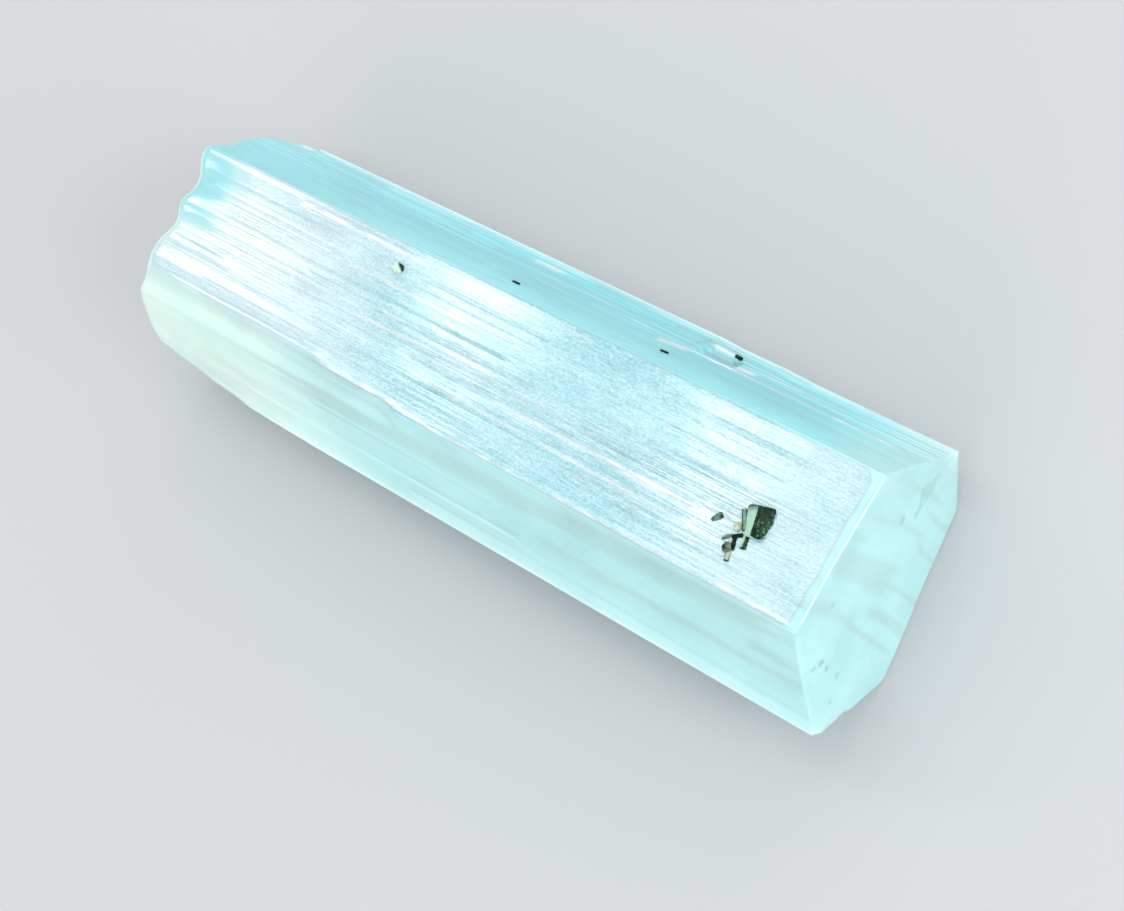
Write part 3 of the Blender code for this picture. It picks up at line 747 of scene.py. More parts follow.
    def with_round_edge(self, side: np.ndarray) -> np.ndarray:
        """Rounds the main face's front edge towards the root, where it lies beyond a slanting plane.

        Args:
            side: The side's grid of points.

        Returns:
            The moved points.
        """
        normal = np.array(self.edge_round_way)
        corner = np.array([0.0, *self.section.corners()["front_top"]])
        over = (side - corner) @ normal + self.edge_round_depth
        taken = softly_over(over, self.edge_round_soft, self.edge_round_soft_reach)
        share = smooth_step(*self.edge_round_x, side[..., 0])
        return side - (share * taken)[..., None] * normal

    def relief(self, points: np.ndarray, numbers: np.ndarray) -> np.ndarray:
        """The fine growth relief of the sides: long striations in small steps, and low swells.

        Each face has its own depths, in the order of Face.

        Args:
            points: The side's grid of points.
            numbers: Each column's face.

        Returns:
            How far each point stands out, in millimetres.
        """
        smooth = self.line_share * self.line_grain.at(points) + self.band_share * self.band_grain.at(points)
        lines = terraced(smooth, self.line_step, self.line_slope)
        depth, roll = np.array(self.line_depths)[numbers], np.array(self.roll_depths)[numbers]
        return depth * lines + roll * self.roll_grain.at(points)

    def cored(self, points: np.ndarray) -> np.ndarray:
        """The way inwards from each point.

        Args:
            points: Points of the surface.

        Returns:
            Unit directions towards the crystal's core line, which stops short of both ends.
        """
        core = np.zeros_like(points)
        core[..., 0] = np.clip(points[..., 0], self.root_x + self.core_margin, self.end_x - self.core_margin)
        core[..., 2] = self.section.height / 2
        way = core - points
        return way / np.linalg.norm(way, axis=-1, keepdims=True)

    def with_breaks(self, points: np.ndarray) -> np.ndarray:
        """The surface with the slanting break and the chips taken off.

        A point outside the break's plane moves towards the core until it lies on the plane, and a point in a
        chip's ball moves the same way until it lies on the ball: t solves |P + tD - C| = R.

        Args:
            points: Points of the whole surface.

        Returns:
            The moved points.
        """
        normal = np.array(self.break_normal) / np.linalg.norm(self.break_normal)
        corner = self.section.corners()["front_middle"]
        start = np.array([self.break_start_x, *corner])
        rough = self.break_relief_depth * self.break_relief.at(points)
        rough += self.break_fine_depth * self.break_fine.at(points)
        over = (points - start) @ normal - rough
        way = self.cored(points)
        taken = softly_over(over, self.break_soft, self.break_soft_reach)
        slide = taken / np.maximum(-(way @ normal), self.steepest_way)
        points = points + slide[..., None] * way
        for chip in CHIPS:
            way = self.cored(points)
            shifted = points + chip.radius * self.chip_shift
            ripple = 1.0 + self.chip_relief_share * self.chip_relief.at(shifted)
            from_centre = points - np.array(chip.centre)
            half = np.sum(from_centre * way, axis=-1)
            short = np.sum(from_centre**2, axis=-1) - (chip.radius * ripple) ** 2
            root = np.sqrt(np.maximum(half * half - short, 0.0))
            slide = np.where(short < 0, root - half, 0.0)
            points = points + slide[..., None] * way
        return points

    def capped(self, rim: np.ndarray, at_root: bool) -> np.ndarray:
        """The rounded rim and the rings of one end, from the rim inwards.

        Each ring is the rim drawn in towards the middle of the section, and lies on the end's surface. The
        first three rings round the rim: they draw in by r(1 - cos a) as X runs out by r sin a.

        Args:
            rim: The side's last ring, which stands one rounding radius short of the end's surface.
            at_root: True for the root end.

        Returns:
            The rings' points.
        """
        surface = self.root_surface if at_root else self.end_surface
        outward = -1.0 if at_root else 1.0
        radius = self.root_round if at_root else self.end_round
        middle = np.array([0.0, self.section.height / 2])
        spoke = rim[:, 1:] - middle
        reach = np.linalg.norm(spoke, axis=-1, keepdims=True)
        angles = np.radians(self.round_angles)
        insets = radius * (1.0 - np.cos(angles))
        shorts = radius * (1.0 - np.sin(angles))
        shares = 1.0 - (np.arange(1, self.cap_rings) / self.cap_rings)
        flat = [middle + spoke * (1.0 - inset / reach) for inset in insets]
        flat += [middle + spoke * (1.0 - radius / reach) * share for share in shares]
        flat = np.array(flat)
        short = np.concatenate([shorts, np.zeros(len(shares))])[:, None]
        x = surface(flat[..., 0], flat[..., 1]) - outward * short
        return np.concatenate([x[..., None], flat], axis=-1)

    def row_shares(self) -> np.ndarray:
        """Each row's share of the way from the root to the glassy end.

        The rows are closest together by the recess and the glassy end. There, at a distance d along from a
        place of reach r and gain g, they are 1 + g exp(-(d / r)^2) times as close.
        """
        spots = np.linspace(0.0, 1.0, self.row_spots)
        close = [gain * np.exp(-(((spots - at) / reach) ** 2)) for at, reach, gain in self.close_rows]
        count = np.cumsum(1.0 + sum(close))
        return np.interp(np.linspace(count[0], count[-1], self.side_rows), count, spots)

    def grid(self) -> ClosedGrid:
        """The whole surface as a closed grid, with its marks.

        At each column, the side's X runs from the root's surface to the glassy end's.
        """
        places, normals, numbers = self.outline()
        x_root = self.root_surface(places[:, 0], places[:, 1]) + self.root_round
        x_end = self.end_surface(places[:, 0], places[:, 1]) - self.end_round
        share = self.row_shares()[:, None]
        x = x_root + (x_end - x_root) * share
        side = np.concatenate([x[..., None], np.broadcast_to(places, (*x.shape, 2))], axis=-1)
        side = self.with_round_edge(self.with_strips(side, numbers))
        stand = self.relief(side, numbers)
        side[..., 1:] += normals * stand[..., None]
        root = self.capped(side[0], True)
        end = self.capped(side[-1], False)
        rings = np.concatenate([root[::-1], side, end])
        rough = self.root_relief.at(rings) * smooth_step(*self.root_relief_x, rings[..., 0])
        rings[..., 0] += self.root_relief_depth * rough
        rings = np.clip(self.with_breaks(rings), self.box_low, self.box_high)
        caps = np.zeros(len(rings))
        caps[: len(root)] = -1.0
        caps[-len(end) :] = 1.0
        marks = CrystalMarks(self, rings, numbers, caps).all()
        poles = [ring.mean(axis=0, keepdims=True) for ring in (rings[0], rings[-1])]
        return ClosedGrid(rings, poles[0], poles[1], marks)

    def build(self) -> bpy.types.Object:
        """The crystal as a piece that stands for its solid."""
        piece = piece_from("aquamarine_surface", [self.grid()], self.sharp_degrees)
        piece.data.materials.append(BerylFinish().material())
        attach(piece, "root")
        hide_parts("aquamarine_crystal")
        return piece


@dataclass
class CrystalMarks:
    """Numbers from 0 to 1 on the crystal's grid that its finish reads.

    Most pairs are the two places between which a mark grows from 0 to 1, in millimetres: along X, along Y,
    or across a face from the corner that its width is measured from. The frosted field's two corners are
    given by how far along and across they lie, with their radii. The pair for the clear patch is how far
    patches move its edge along and across.
    """

    crystal: Aquamarine
    rings: np.ndarray
    numbers: np.ndarray
    caps: np.ndarray
    field_back: Pair = (32.7, 6.0)
    field_front: Pair = (32.45, 6.45)
    field_rounds: Pair = (2.0, 0.8)
    field_edge: Pair = (-0.10, 0.22)
    field_grain: Grain = Grain((1.2, 0.8, 0.8), 70.0)
    field_ragged: float = 0.10
    patch_grain: Grain = Grain((5.0, 1.4, 1.4), 20.0)
    front_fade_x: Pair = (-8.0, -16.0)
    front_fade: Pair = (1.3, -1.7)
    front_patches: float = 0.5
    clear_x: Pair = (-26.5, -31.5)
    clear_y: Pair = (-2.6, -0.4)
    clear_patches: Pair = (2.5, 0.8)
    painted_glow_grain: Grain = Grain((9.0, 2.5, 2.5), 35.0)
    painted_glow_patches: float = 3.0
    painted_glow_root_x: Pair = (-3.0, -17.0)
    painted_glow_end_x: Pair = (22.0, 30.0)
    painted_glow_end: float = 0.6
    lined_root_x: Pair = (-26.0, -14.0)
    lined_end_x: Pair = (29.0, 18.0)
    lined_middle: float = 3.9
    lined_reach: float = 2.0
    lined_least: float = 0.25
    strip_fade_x: Pair = (26.0, 32.5)
    strip_faded: float = 0.8
    strip_clear: float = 0.9
    deep_across: Pair = (1.5, 5.0)
    deep_end_x: Pair = (30.0, 22.0)
    deep_outer: float = 0.85
    deep_root_x: Pair = (-10.0, -24.0)
    gap_grain: Grain = Grain((1.2, 0.4, 0.4), 40.0)
    gap_level: float = 0.80
    gap_depth: float = 0.55
    broken_from: float = 4.0
    faded_from: float = 13.0
    long_fade: float = 3.0
    short_fade: float = 0.6
    crossing_under: float = 1.0
    line_power: int = 4
    recess_painted_shade: float = 0.50
    dark_clear: float = 0.40
    veil_grain: Grain = Grain((7.0, 0.3, 0.3), 60.0)
    veil_across: Pair = (4.8, 7.2)
    veil_lines: Pair = (0.0, 0.5)
    veil_level: float = 0.15
    painted_rim_light_grain: Grain = Grain((4.0, 1.0, 1.0), 25.0)
    painted_rim_light_reach: float = 0.7
    painted_rim_light_ragged: float = 0.3
    root_x: Pair = (-4.0, -27.0)
    stain_grain: Grain = Grain((0.6, 0.45, 0.45), 15.0)
    stain_ragged: float = 0.35
    stain_edge: Pair = (1.1, 0.7)
    broken_near: Pair = (-0.75, -0.35)

    def on_face(self, face: Face) -> np.ndarray:
        """1 on one prism face, and 0 elsewhere."""
        own = (self.numbers == list(Face).index(face)).astype(float)
        return own[None, :] * (self.caps[:, None] == 0)

    def across(self, face: Face) -> np.ndarray:
        """How far each point lies across a face, from the corner that its width is measured from."""
        start, across, _ = self.crystal.section.frame(face)
        return (self.rings - start) @ across

    def frost(self) -> np.ndarray:
        """The frosted field of the main face.

        It is a rectangle with rounded corners at the glassy end. By the root it fades out in patches, and
        softly towards its front edge.
        """
        x, y = self.rings[..., 0], self.rings[..., 1]
        ragged = self.field_ragged * self.field_grain.at(self.rings)
        back = self.corner_distance(self.field_back[0] - x, self.field_back[1] - y, self.field_rounds[0])
        front = self.corner_distance(self.field_front[0] - x, self.field_front[1] + y, self.field_rounds[1])
        field_edge = smooth_step(*self.field_edge, np.minimum(back, front) + ragged)
        edge_y = self.crystal.section.corners()["front_top"][0]
        down = np.maximum(self.across(Face.FRONT_UPPER), 0.0) - np.maximum(y - edge_y, 0.0)
        near_root = smooth_step(*self.front_fade_x, x)
        patches = self.front_patches * self.patch_grain.at(self.rings)
        soft_front = smooth_step(*self.front_fade, down + patches)
        top = self.on_face(Face.TOP) * field_edge * (1.0 - self.clear_patch())
        top *= 1.0 - near_root * (1.0 - soft_front)
        return np.maximum(top, self.on_face(Face.FRONT_UPPER) * near_root * soft_front)

    def clear_patch(self) -> np.ndarray:
        """The unfrosted patch of the main face, at the root end's back corner."""
        x, y = self.rings[..., 0], self.rings[..., 1]
        patches = self.patch_grain.at(self.rings)
        along = smooth_step(*self.clear_x, x + self.clear_patches[0] * patches)
        return along * smooth_step(*self.clear_y, y + self.clear_patches[1] * patches)

    def painted_glow(self) -> np.ndarray:
        """Where the frost is whitest: towards the root, and a little by the field's end."""
        # Painted glow: the frost is painted whiter here, standing for the lamps' glow reflected in it.
        x = self.rings[..., 0] + self.painted_glow_patches * self.painted_glow_grain.at(self.rings)
        by_end = self.painted_glow_end * smooth_step(*self.painted_glow_end_x, x)
        return np.maximum(smooth_step(*self.painted_glow_root_x, x), by_end)

    def lined(self) -> np.ndarray:
        """How many fine lines the frost has: most along the middle of its front half.

        Across the face it is exp(-((w - middle) / reach)^2), over an even least share.
        """
        x = self.rings[..., 0]
        along = smooth_step(*self.lined_root_x, x) * smooth_step(*self.lined_end_x, x)
        away = (self.across(Face.TOP) - self.lined_middle) / self.lined_reach
        most = (1.0 - self.lined_least) * along * np.exp(-(away**2))
        return self.on_face(Face.TOP) * (self.lined_least + most)

    def strip(self) -> np.ndarray:
        """The deeper colour of the back upper face, lost by the glassy end, and of the clear patch."""
        kept = 1.0 - self.strip_faded * smooth_step(*self.strip_fade_x, self.rings[..., 0])
        back = self.on_face(Face.BACK_UPPER) * kept
        return np.maximum(back, self.strip_clear * self.on_face(Face.TOP) * self.clear_patch())

    def deep(self) -> np.ndarray:
        """Where the strip's colour is deepest: away from the main face, by the root, in the clear patch."""
        x = self.rings[..., 0]
        outer = smooth_step(*self.deep_across, self.across(Face.BACK_UPPER))
        outer = outer * smooth_step(*self.deep_end_x, x)
        by_root = smooth_step(*self.deep_root_x, x)
        return np.maximum(np.maximum(self.deep_outer * outer, by_root), self.on_face(Face.TOP))

    def corner_distance(self, from_end: np.ndarray, from_side: np.ndarray, radius: float) -> np.ndarray:
        """The distance inwards from two edges that meet in a rounded corner.

        Args:
            from_end: The distance from the end's edge.
            from_side: The distance from the side's edge.
            radius: The corner's radius.

        Returns:
            The signed distance: R - |corner centre - point| in the corner, and the lesser one elsewhere.
        """
        in_corner = (from_end < radius) & (from_side < radius)
        away = np.hypot(radius - from_end, radius - from_side)
        return np.where(in_corner, radius - away, np.minimum(from_end, from_side))

    def line(self, streak: Streak) -> np.ndarray:
        """How strong one line is at each point, with soft ends.

        It is exp(-(d / width)^4) at a distance d across the face from the line's middle. A line that runs
        across the face takes d along X.

        Args:
            streak: The line.

        Returns:
            The strength, over 0 for a dark line too.
        """
        x, w = self.rings[..., 0], self.across(streak.face)
        length = streak.x1 - streak.x0
        share = np.clip((x - streak.x0) / length, 0.0, 1.0)
        away = w - streak.w0 - (streak.w1 - streak.w0) * share
        from_ends = np.minimum(x - streak.x0, streak.x1 - x)
        if length < self.crossing_under:
            away = x - streak.x0
            along = np.interp(w, (streak.w0, streak.w1), (streak.x0, streak.x1))
            within = (w > streak.w0) & (w < streak.w1)
            from_ends = np.where(within, np.minimum(along - streak.x0, streak.x1 - along), -self.long_fade)
        fade = self.long_fade if length > self.faded_from else self.short_fade
        ends = smooth_step(0.0, fade, from_ends + fade / 2)
        return abs(streak.strength) * ends * np.exp(-((away / streak.width) ** self.line_power))

    def white(self) -> np.ndarray:
        """The white lines."""
        return self.lines([streak for streak in STREAKS if streak.strength > 0])

    def dark(self) -> np.ndarray:
        """The dark lines, and the darker recess and clear patch."""
        # Painted shade: the recess is painted darker, as the shade that falls in it.
        recess = self.crystal.strip_reach(RECESS, self.rings) * self.on_face(RECESS.face)
        clear = self.clear_patch() * self.on_face(Face.TOP)
        places = np.maximum(self.recess_painted_shade * recess, self.dark_clear * clear)
        return np.maximum(self.lines([streak for streak in STREAKS if streak.strength < 0]), places)

    def lines(self, streaks: list[Streak]) -> np.ndarray:
        """Some lines together, with the long ones broken up along X.

        Args:
            streaks: The lines.

        Returns:
            The strongest of them at each point, from 0 to 1.
        """
        gaps = self.gap_level + self.gap_depth * self.gap_grain.at(self.rings)
        total = np.zeros(self.rings.shape[:2])
        for streak in streaks:
            whole = gaps if streak.x1 - streak.x0 > self.broken_from else 1.0
            total = np.maximum(total, self.line(streak) * self.on_face(streak.face) * whole)
        return np.clip(total, 0.0, 1.0)

    def veil(self) -> np.ndarray:
        """Milky streaks on the back upper face's outer part, beyond its clear glassy band."""
        lines = smooth_step(*self.veil_lines, self.veil_grain.at(self.rings) + self.veil_level)
        outer = smooth_step(*self.veil_across, self.across(Face.BACK_UPPER)) * lines
        return self.on_face(Face.BACK_UPPER) * outer

    def rim(self) -> np.ndarray:
        """The paler bands along the two widest edges: exp(-d / reach) at a distance d from either edge."""
        # Painted rim light: the crystal is painted paler and milkier along its two widest edges.
        corners = self.crystal.section.corners()
        widest = (corners["back_middle"], corners["front_middle"])
        away = np.minimum(*(np.linalg.norm(self.rings[..., 1:] - corner, axis=-1) for corner in widest))
        ragged = 1.0 + self.painted_rim_light_ragged * self.painted_rim_light_grain.at(self.rings)
        return np.clip(np.exp(-away / self.painted_rim_light_reach) * ragged, 0.0, 1.0)

    def root(self) -> np.ndarray:
        """The greener, milkier end of the crystal by the root."""
        return smooth_step(*self.root_x, self.rings[..., 0])

    def stain(self) -> np.ndarray:
        """The greenish stain and the few specks on the glassy end."""
        y, z = self.rings[..., 1], self.rings[..., 2]
        ragged = self.stain_ragged * self.stain_grain.at(self.rings)
        total = np.zeros_like(y)
        for spot in STAINS:
            away = np.hypot(y - spot.y, z - spot.z) / spot.radius + ragged
            total = np.maximum(total, spot.strength * smooth_step(*self.stain_edge, away))
        return total * (self.caps[:, None] > 0)

    def broken(self) -> np.ndarray:
        """1 on the broken root end and on the slanting break, and 0 on grown faces."""
        normal = np.array(self.crystal.break_normal)
        start = np.array([self.crystal.break_start_x, *self.crystal.section.corners()["front_middle"]])
        near = (self.rings - start) @ (normal / np.linalg.norm(normal))
        slant = smooth_step(*self.broken_near, near)
        return np.maximum(slant, (self.caps[:, None] < 0) * np.ones_like(near))

    def all(self) -> dict[str, np.ndarray]:
        """Every mark by its attribute's name."""
        return {
            "frost": self.frost(),
            "rim": self.rim(),
            "white": self.white(),
            "dark": self.dark(),
            "strip": self.strip(),
            "deep": self.deep(),
            "painted_glow": self.painted_glow(),
            "lined": self.lined(),
            "veil": self.veil(),
            "root": self.root(),
            "stain": self.stain(),
            "broken": self.broken(),
        }


# Nearly all of a soft noise's values lie between these two.
NOISE_SPAN = (0.35, 0.65)


@dataclass
class Recipe:
    """A material under construction, with short ways to add and join its nodes."""

    name: str
    noise_roughness: float = 0.6

    def __post_init__(self) -> None:
        """Starts the material with its Principled shader."""
        self.material = bpy.data.materials.new(self.name)
        self.material.use_nodes = True
        self.tree = self.material.node_tree
        self.shader = self.tree.nodes["Principled BSDF"]

    def feed(self, socket: Socket, value: object) -> None:
        """Joins a socket to another node's output, or sets its plain value."""
        if isinstance(value, Socket):
            self.tree.links.new(value, socket)
        else:
            socket.default_value = value

    def node(self, kind: str, values: dict[object, object], **settings: object) -> bpy.types.Node:
        """Adds a node.

        Args:
            kind: The type name of the node.
            values: What each input takes, by the input's name or number.
            settings: The node's own settings.

        Returns:
            The new node.
        """
        made = self.tree.nodes.new(kind)
        for setting, value in settings.items():
            setattr(made, setting, value)
        for socket, value in values.items():
            self.feed(made.inputs[socket], value)
        return made

    def mark(self, name: str) -> Socket:
        """One of the piece's own marks, as a number."""
        return self.node("ShaderNodeAttribute", {}, attribute_name=name).outputs["Fac"]

    def grain(self, per_mm: Triple, detail: float = 2.0) -> Socket:
        """Smooth noise on Object coordinates.

        Args:
            per_mm: How many waves there are in a millimetre along X, Y and Z.
            detail: How many finer layers the noise has.

        Returns:
            The noise's socket.
        """
        place = self.node("ShaderNodeTexCoord", {}).outputs["Object"]
        scale = tuple(value / MM for value in per_mm)
        stretched = self.node("ShaderNodeMapping", {"Vector": place, "Scale": scale}).outputs[0]
        values = {"Vector": stretched, "Scale": 1.0, "Detail": detail, "Roughness": self.noise_roughness}
        return self.node("ShaderNodeTexNoise", values).outputs[0]

    def ranged(self, value: object, low: float, high: float, to_low: float, to_high: float) -> Socket:
        """Carries a number from one range to another, held at its two ends."""
        values = {"Value": value, 1: low, 2: high, 3: to_low, 4: to_high}
        return self.node("ShaderNodeMapRange", values, clamp=True).outputs[0]

    def combine(self, operation: str, first: object, second: object, clamp: bool = False) -> Socket:
        """One step of arithmetic on two numbers."""
        values = {0: first, 1: second}
        return self.node("ShaderNodeMath", values, operation=operation, use_clamp=clamp).outputs[0]

    def scaled(self, name: str, share: object) -> Socket:
        """One of the piece's own marks, times a share."""
        return self.combine("MULTIPLY", self.mark(name), share)

    def mixed(self, first: object, first_share: float, second: object, second_share: float) -> Socket:
        """The sum of two numbers, each times its own share."""
        first_part = self.combine("MULTIPLY", first, first_share)
        return self.combine("ADD", first_part, self.combine("MULTIPLY", second, second_share))

    def blend(self, share: object, first: object, second: object) -> Socket:
        """Blends two colours by a share from 0 to 1."""
        values = {0: share, 6: first, 7: second}
        return self.node("ShaderNodeMix", values, data_type="RGBA").outputs[2]

    def bump(self, height: object, depth: float, strength: object) -> Socket:
        """A normal bent by a height from 0 to 1, which stands for so many metres."""
        values = {"Height": height, "Distance": depth, "Strength": strength}
        return self.node("ShaderNodeBump", values).outputs[0]

    def dress(self, values: dict[str, object]) -> None:
        """Sets or joins the shader's inputs."""
        for socket, value in values.items():
            self.feed(self.shader.inputs[socket], value)


@dataclass(frozen=True)
class BerylFinish:
    """Pale beryl: see-through by transmission and absorption, and milkier where it is frosted or broken.

    The waves are how many of a pattern's waves there are in a millimetre along X, Y and Z. A pair is the
    span of a pattern that counts, or what it gives at its two ends.
    """

    body: Colour = (0.61, 0.97, 0.98, 1.0)
    strip: Colour = (0.34, 0.87, 0.93, 1.0)
    strip_deep: Colour = (0.25, 0.69, 0.76, 1.0)
    root: Colour = (0.93, 1.0, 0.84, 1.0)
    root_share: float = 0.8
    root_cloud: Pair = (0.55, 0.95)
    # Painted rim light: the colour of the paler bands along the two widest edges.
    rim: Colour = (0.88, 1.0, 0.98, 1.0)
    painted_rim_light_share: float = 0.7
    frost_low: Colour = (0.26, 0.575, 0.625, 1.0)
    frost_high: Colour = (0.48, 0.70, 0.785, 1.0)
    # The frost's colour where the painted glow is.
    frost_painted_glow: Colour = (0.64, 0.745, 0.81, 1.0)
    painted_glow_share: float = 0.6
    white: Colour = (0.70, 0.78, 0.82, 1.0)
    grey: Colour = (0.36, 0.43, 0.52, 1.0)
    # Dark lines, the clear patch, and painted shade in the recess.
    dark: Colour = (0.30, 0.50, 0.56, 1.0)
    stain: Colour = (0.30, 0.58, 0.44, 1.0)
    stain_share: float = 0.8
    index: float = 1.575
    absorbed: Colour = (0.0, 0.80, 0.86, 1.0)
    absorption: float = 14.0
    mottle_waves: Triple = (3.6, 7.0, 7.0)
    mottle_share: float = 0.6
    dash_waves: Triple = (0.8, 9.0, 9.0)
    dash_share: float = 0.4
    line_waves: Triple = (0.035, 4.6, 4.6)
    cloud_waves: Triple = (0.10, 0.16, 0.16)
    patch_waves: Triple = (0.16, 0.35, 0.35)
    patch_depth: float = 0.06
    fine_waves: Triple = (0.10, 5.2, 5.2)
    fine_white: Pair = (0.57, 0.63)
    fine_white_share: float = 0.9
    fine_grey: Pair = (0.43, 0.38)
    fine_grey_share: float = 0.55
    fleck_span: Pair = (0.34, 0.66)
    body_milk: Pair = (0.52, 0.60)
    strip_milk: float = 0.12
    veil_lines: Pair = (0.4, 0.8)
    veil_milk: Pair = (0.05, 0.40)
    root_milk: float = 0.12
    painted_rim_light_milk: float = 0.25
    frost_milk: Pair = (0.62, 0.86)
    broken_milk: float = 0.62
    least_clear: float = 0.08
    dash_span: Pair = (0.35, 0.7)
    roughness: Pair = (0.12, 0.18)
    frost_roughness: float = 0.01
    relief_share: float = 0.5
    relief_depth: float = 0.00003
    relief: Pair = (0.07, 0.35)
    coat: Pair = (0.10, 0.50)
    coat_roughness: float = 0.10

    def frosted(self, made: Recipe, fleck: object) -> Socket:
        """The frost's colour: flecks, a white painted glow, and fine white and grey lines over them.

        Args:
            made: The material.
            fleck: The frost's fine pattern, from 0 to 1.

        Returns:
            The colour's socket.
        """
        frost = made.blend(fleck, self.frost_low, self.frost_high)
        # Painted glow: the frost is painted whiter, standing for the lamps' glow in it.
        frost = made.blend(made.scaled("painted_glow", self.painted_glow_share), frost, self.frost_painted_glow)
        fine = made.grain(self.fine_waves, 3.0)
        bright = made.scaled("lined", made.ranged(fine, *self.fine_white, 0.0, self.fine_white_share))
        frost = made.blend(bright, frost, self.white)
        dull = made.scaled("lined", made.ranged(fine, *self.fine_grey, 0.0, self.fine_grey_share))
        return made.blend(dull, frost, self.grey)

    def colour(self, made: Recipe, fleck: object, cloud: object) -> Socket:
        """The surface's colour, from the marks and two patterns.

        Args:
            made: The material.
            fleck: The frost's fine pattern, from 0 to 1.
            cloud: The broad soft pattern, from 0 to 1.

        Returns:
            The colour's socket.
        """
        root = made.scaled("root", made.ranged(cloud, 0.0, 1.0, *self.root_cloud))
        layers = (
            (made.combine("MULTIPLY", root, self.root_share), self.root),
            (made.mark("strip"), made.blend(made.mark("deep"), self.strip, self.strip_deep)),
            # Painted rim light along the two widest edges.
            (made.scaled("rim", self.painted_rim_light_share), self.rim),
            (made.mark("frost"), self.frosted(made, fleck)),
            (made.mark("white"), self.white),
            (made.mark("dark"), self.dark),
            (made.scaled("stain", self.stain_share), self.stain),
        )
        colour = self.body
        for share, over in layers:
            colour = made.blend(share, colour, over)
        return colour

    def milkiness(self, made: Recipe, fleck: object, cloud: object, lines: object) -> Socket:
        """How milky the surface is, from 0, clear, to 1, white.

        Args:
            made: The material.
            fleck: The frost's fine pattern, from 0 to 1.
            cloud: The broad soft pattern, from 0 to 1.
            lines: The long fine lines, from 0 to 1.

        Returns:
            The socket.
        """
        veil = made.ranged(lines, *self.veil_lines, *self.veil_milk)
        # The rim also adds milk along the painted rim light.
        added = {"strip": self.strip_milk, "veil": veil, "root": self.root_milk, "rim": self.painted_rim_light_milk}
        least = {"frost": made.ranged(fleck, 0.0, 1.0, *self.frost_milk), "broken": self.broken_milk}
        milk = made.ranged(cloud, 0.0, 1.0, *self.body_milk)
        for mark, share in added.items():
            milk = made.combine("ADD", milk, made.scaled(mark, share))
        for mark, share in least.items():
            milk = made.combine("MAXIMUM", milk, made.scaled(mark, share))
        return made.combine("MAXIMUM", milk, made.mark("white"), True)

    def material(self) -> bpy.types.Material:
        """The finish as a material."""
        made = Recipe("aquamarine beryl")
        mottle = made.grain(self.mottle_waves, 3.0)
        dashes = made.grain(self.dash_waves)
        lines = made.ranged(made.grain(self.line_waves), *NOISE_SPAN, 0.0, 1.0)
        cloud = made.ranged(made.grain(self.cloud_waves, 3.0), *NOISE_SPAN, 0.0, 1.0)
        patches = made.ranged(made.grain(self.patch_waves), *NOISE_SPAN, -self.patch_depth, self.patch_depth)
        pattern = made.mixed(mottle, self.mottle_share, dashes, self.dash_share)
        pattern = made.combine("ADD", pattern, patches)
        fleck = made.ranged(pattern, *self.fleck_span, 0.0, 1.0)
        milk = self.milkiness(made, fleck, cloud, lines)
        dull = made.combine("MAXIMUM", made.mark("frost"), made.mark("broken"))
        rough = made.ranged(dashes, *self.dash_span, *self.roughness)
        rough = made.combine("ADD", rough, made.combine("MULTIPLY", dull, self.frost_roughness))
        height = made.mixed(lines, self.relief_share, pattern, self.relief_share)
        bump = made.bump(height, self.relief_depth, made.ranged(dull, 0.0, 1.0, *self.relief))
        made.dress(
            {
                "Base Color": self.colour(made, fleck, cloud),
                "Roughness": rough,
                "Transmission Weight": made.ranged(milk, 0.0, 1.0, 1.0, self.least_clear),
                "Normal": bump,
                "Coat Normal": bump,
                "IOR": self.index,
                "Coat Weight": made.ranged(dull, 0.0, 1.0, *self.coat),
                "Coat Roughness": self.coat_roughness,
            }
        )
        values = {"Color": self.absorbed, "Density": self.absorption}
        inside = made.node("ShaderNodeVolumeAbsorption", values)
        made.feed(made.tree.nodes["Material Output"].inputs["Volume"], inside.outputs[0])
        return made.material


@dataclass(frozen=True)
class TourmalineFinish:
    """Tourmaline, from near-black through dark green to pale grey-green and cream, by the piece's marks."""

    name: str
    black: Colour = (0.002, 0.005, 0.006, 1.0)
    green: Colour = (0.012, 0.055, 0.018, 1.0)
    pale: Colour = (0.36, 0.57, 0.44, 1.0)
    cream: Colour = (0.72, 0.66, 0.46, 1.0)
    index: float = 1.64
    specular: float = 0.05
    patch_waves: Triple = (1.6, 1.9, 1.9)
    green_patches: tuple[float, ...] = (0.35, 0.6, 0.35, 1.0)
    tone_patches: tuple[float, ...] = (0.3, 0.7, -0.18, 0.14)
    tone_span: Pair = (0.15, 0.9)
    speck_waves: Triple = (4.6, 4.6, 4.6)
    # Pale specks painted over the green, as painted glints.
    painted_glint_specks: tuple[float, ...] = (0.54, 0.70, 0.0, 0.6)
    speck_span: Pair = (0.3, 0.7)
    roughness: Pair = (0.22, 0.45)
    relief_depth: float = 0.00002
    relief: float = 0.6

    def material(self) -> bpy.types.Material:
        """The finish as a material."""
        made = Recipe(self.name)
        patches = made.grain(self.patch_waves, 3.0)
        specks = made.grain(self.speck_waves)
        green = made.scaled("green", made.ranged(patches, *self.green_patches))
        dark = made.blend(green, self.black, self.green)
        # Painted glints: pale specks painted on the green parts.
        painted_glints = made.scaled("green", made.ranged(specks, *self.painted_glint_specks))
        dark = made.blend(painted_glints, dark, self.pale)
        pale = made.blend(made.mark("warm"), self.pale, self.cream)
        # The tone mark carries painted light and painted shade from the small crystals, over their own
        # paleness.
        tone = made.combine("ADD", made.mark("tone"), made.ranged(patches, *self.tone_patches), True)
        made.dress(
            {
                "Base Color": made.blend(made.ranged(tone, *self.tone_span, 0.0, 1.0), dark, pale),
                "Roughness": made.ranged(specks, *self.speck_span, *self.roughness),
                "IOR": self.index,
                "Specular IOR Level": self.specular,
                "Normal": made.bump(specks, self.relief_depth, self.relief),
            }
        )
        return made.material


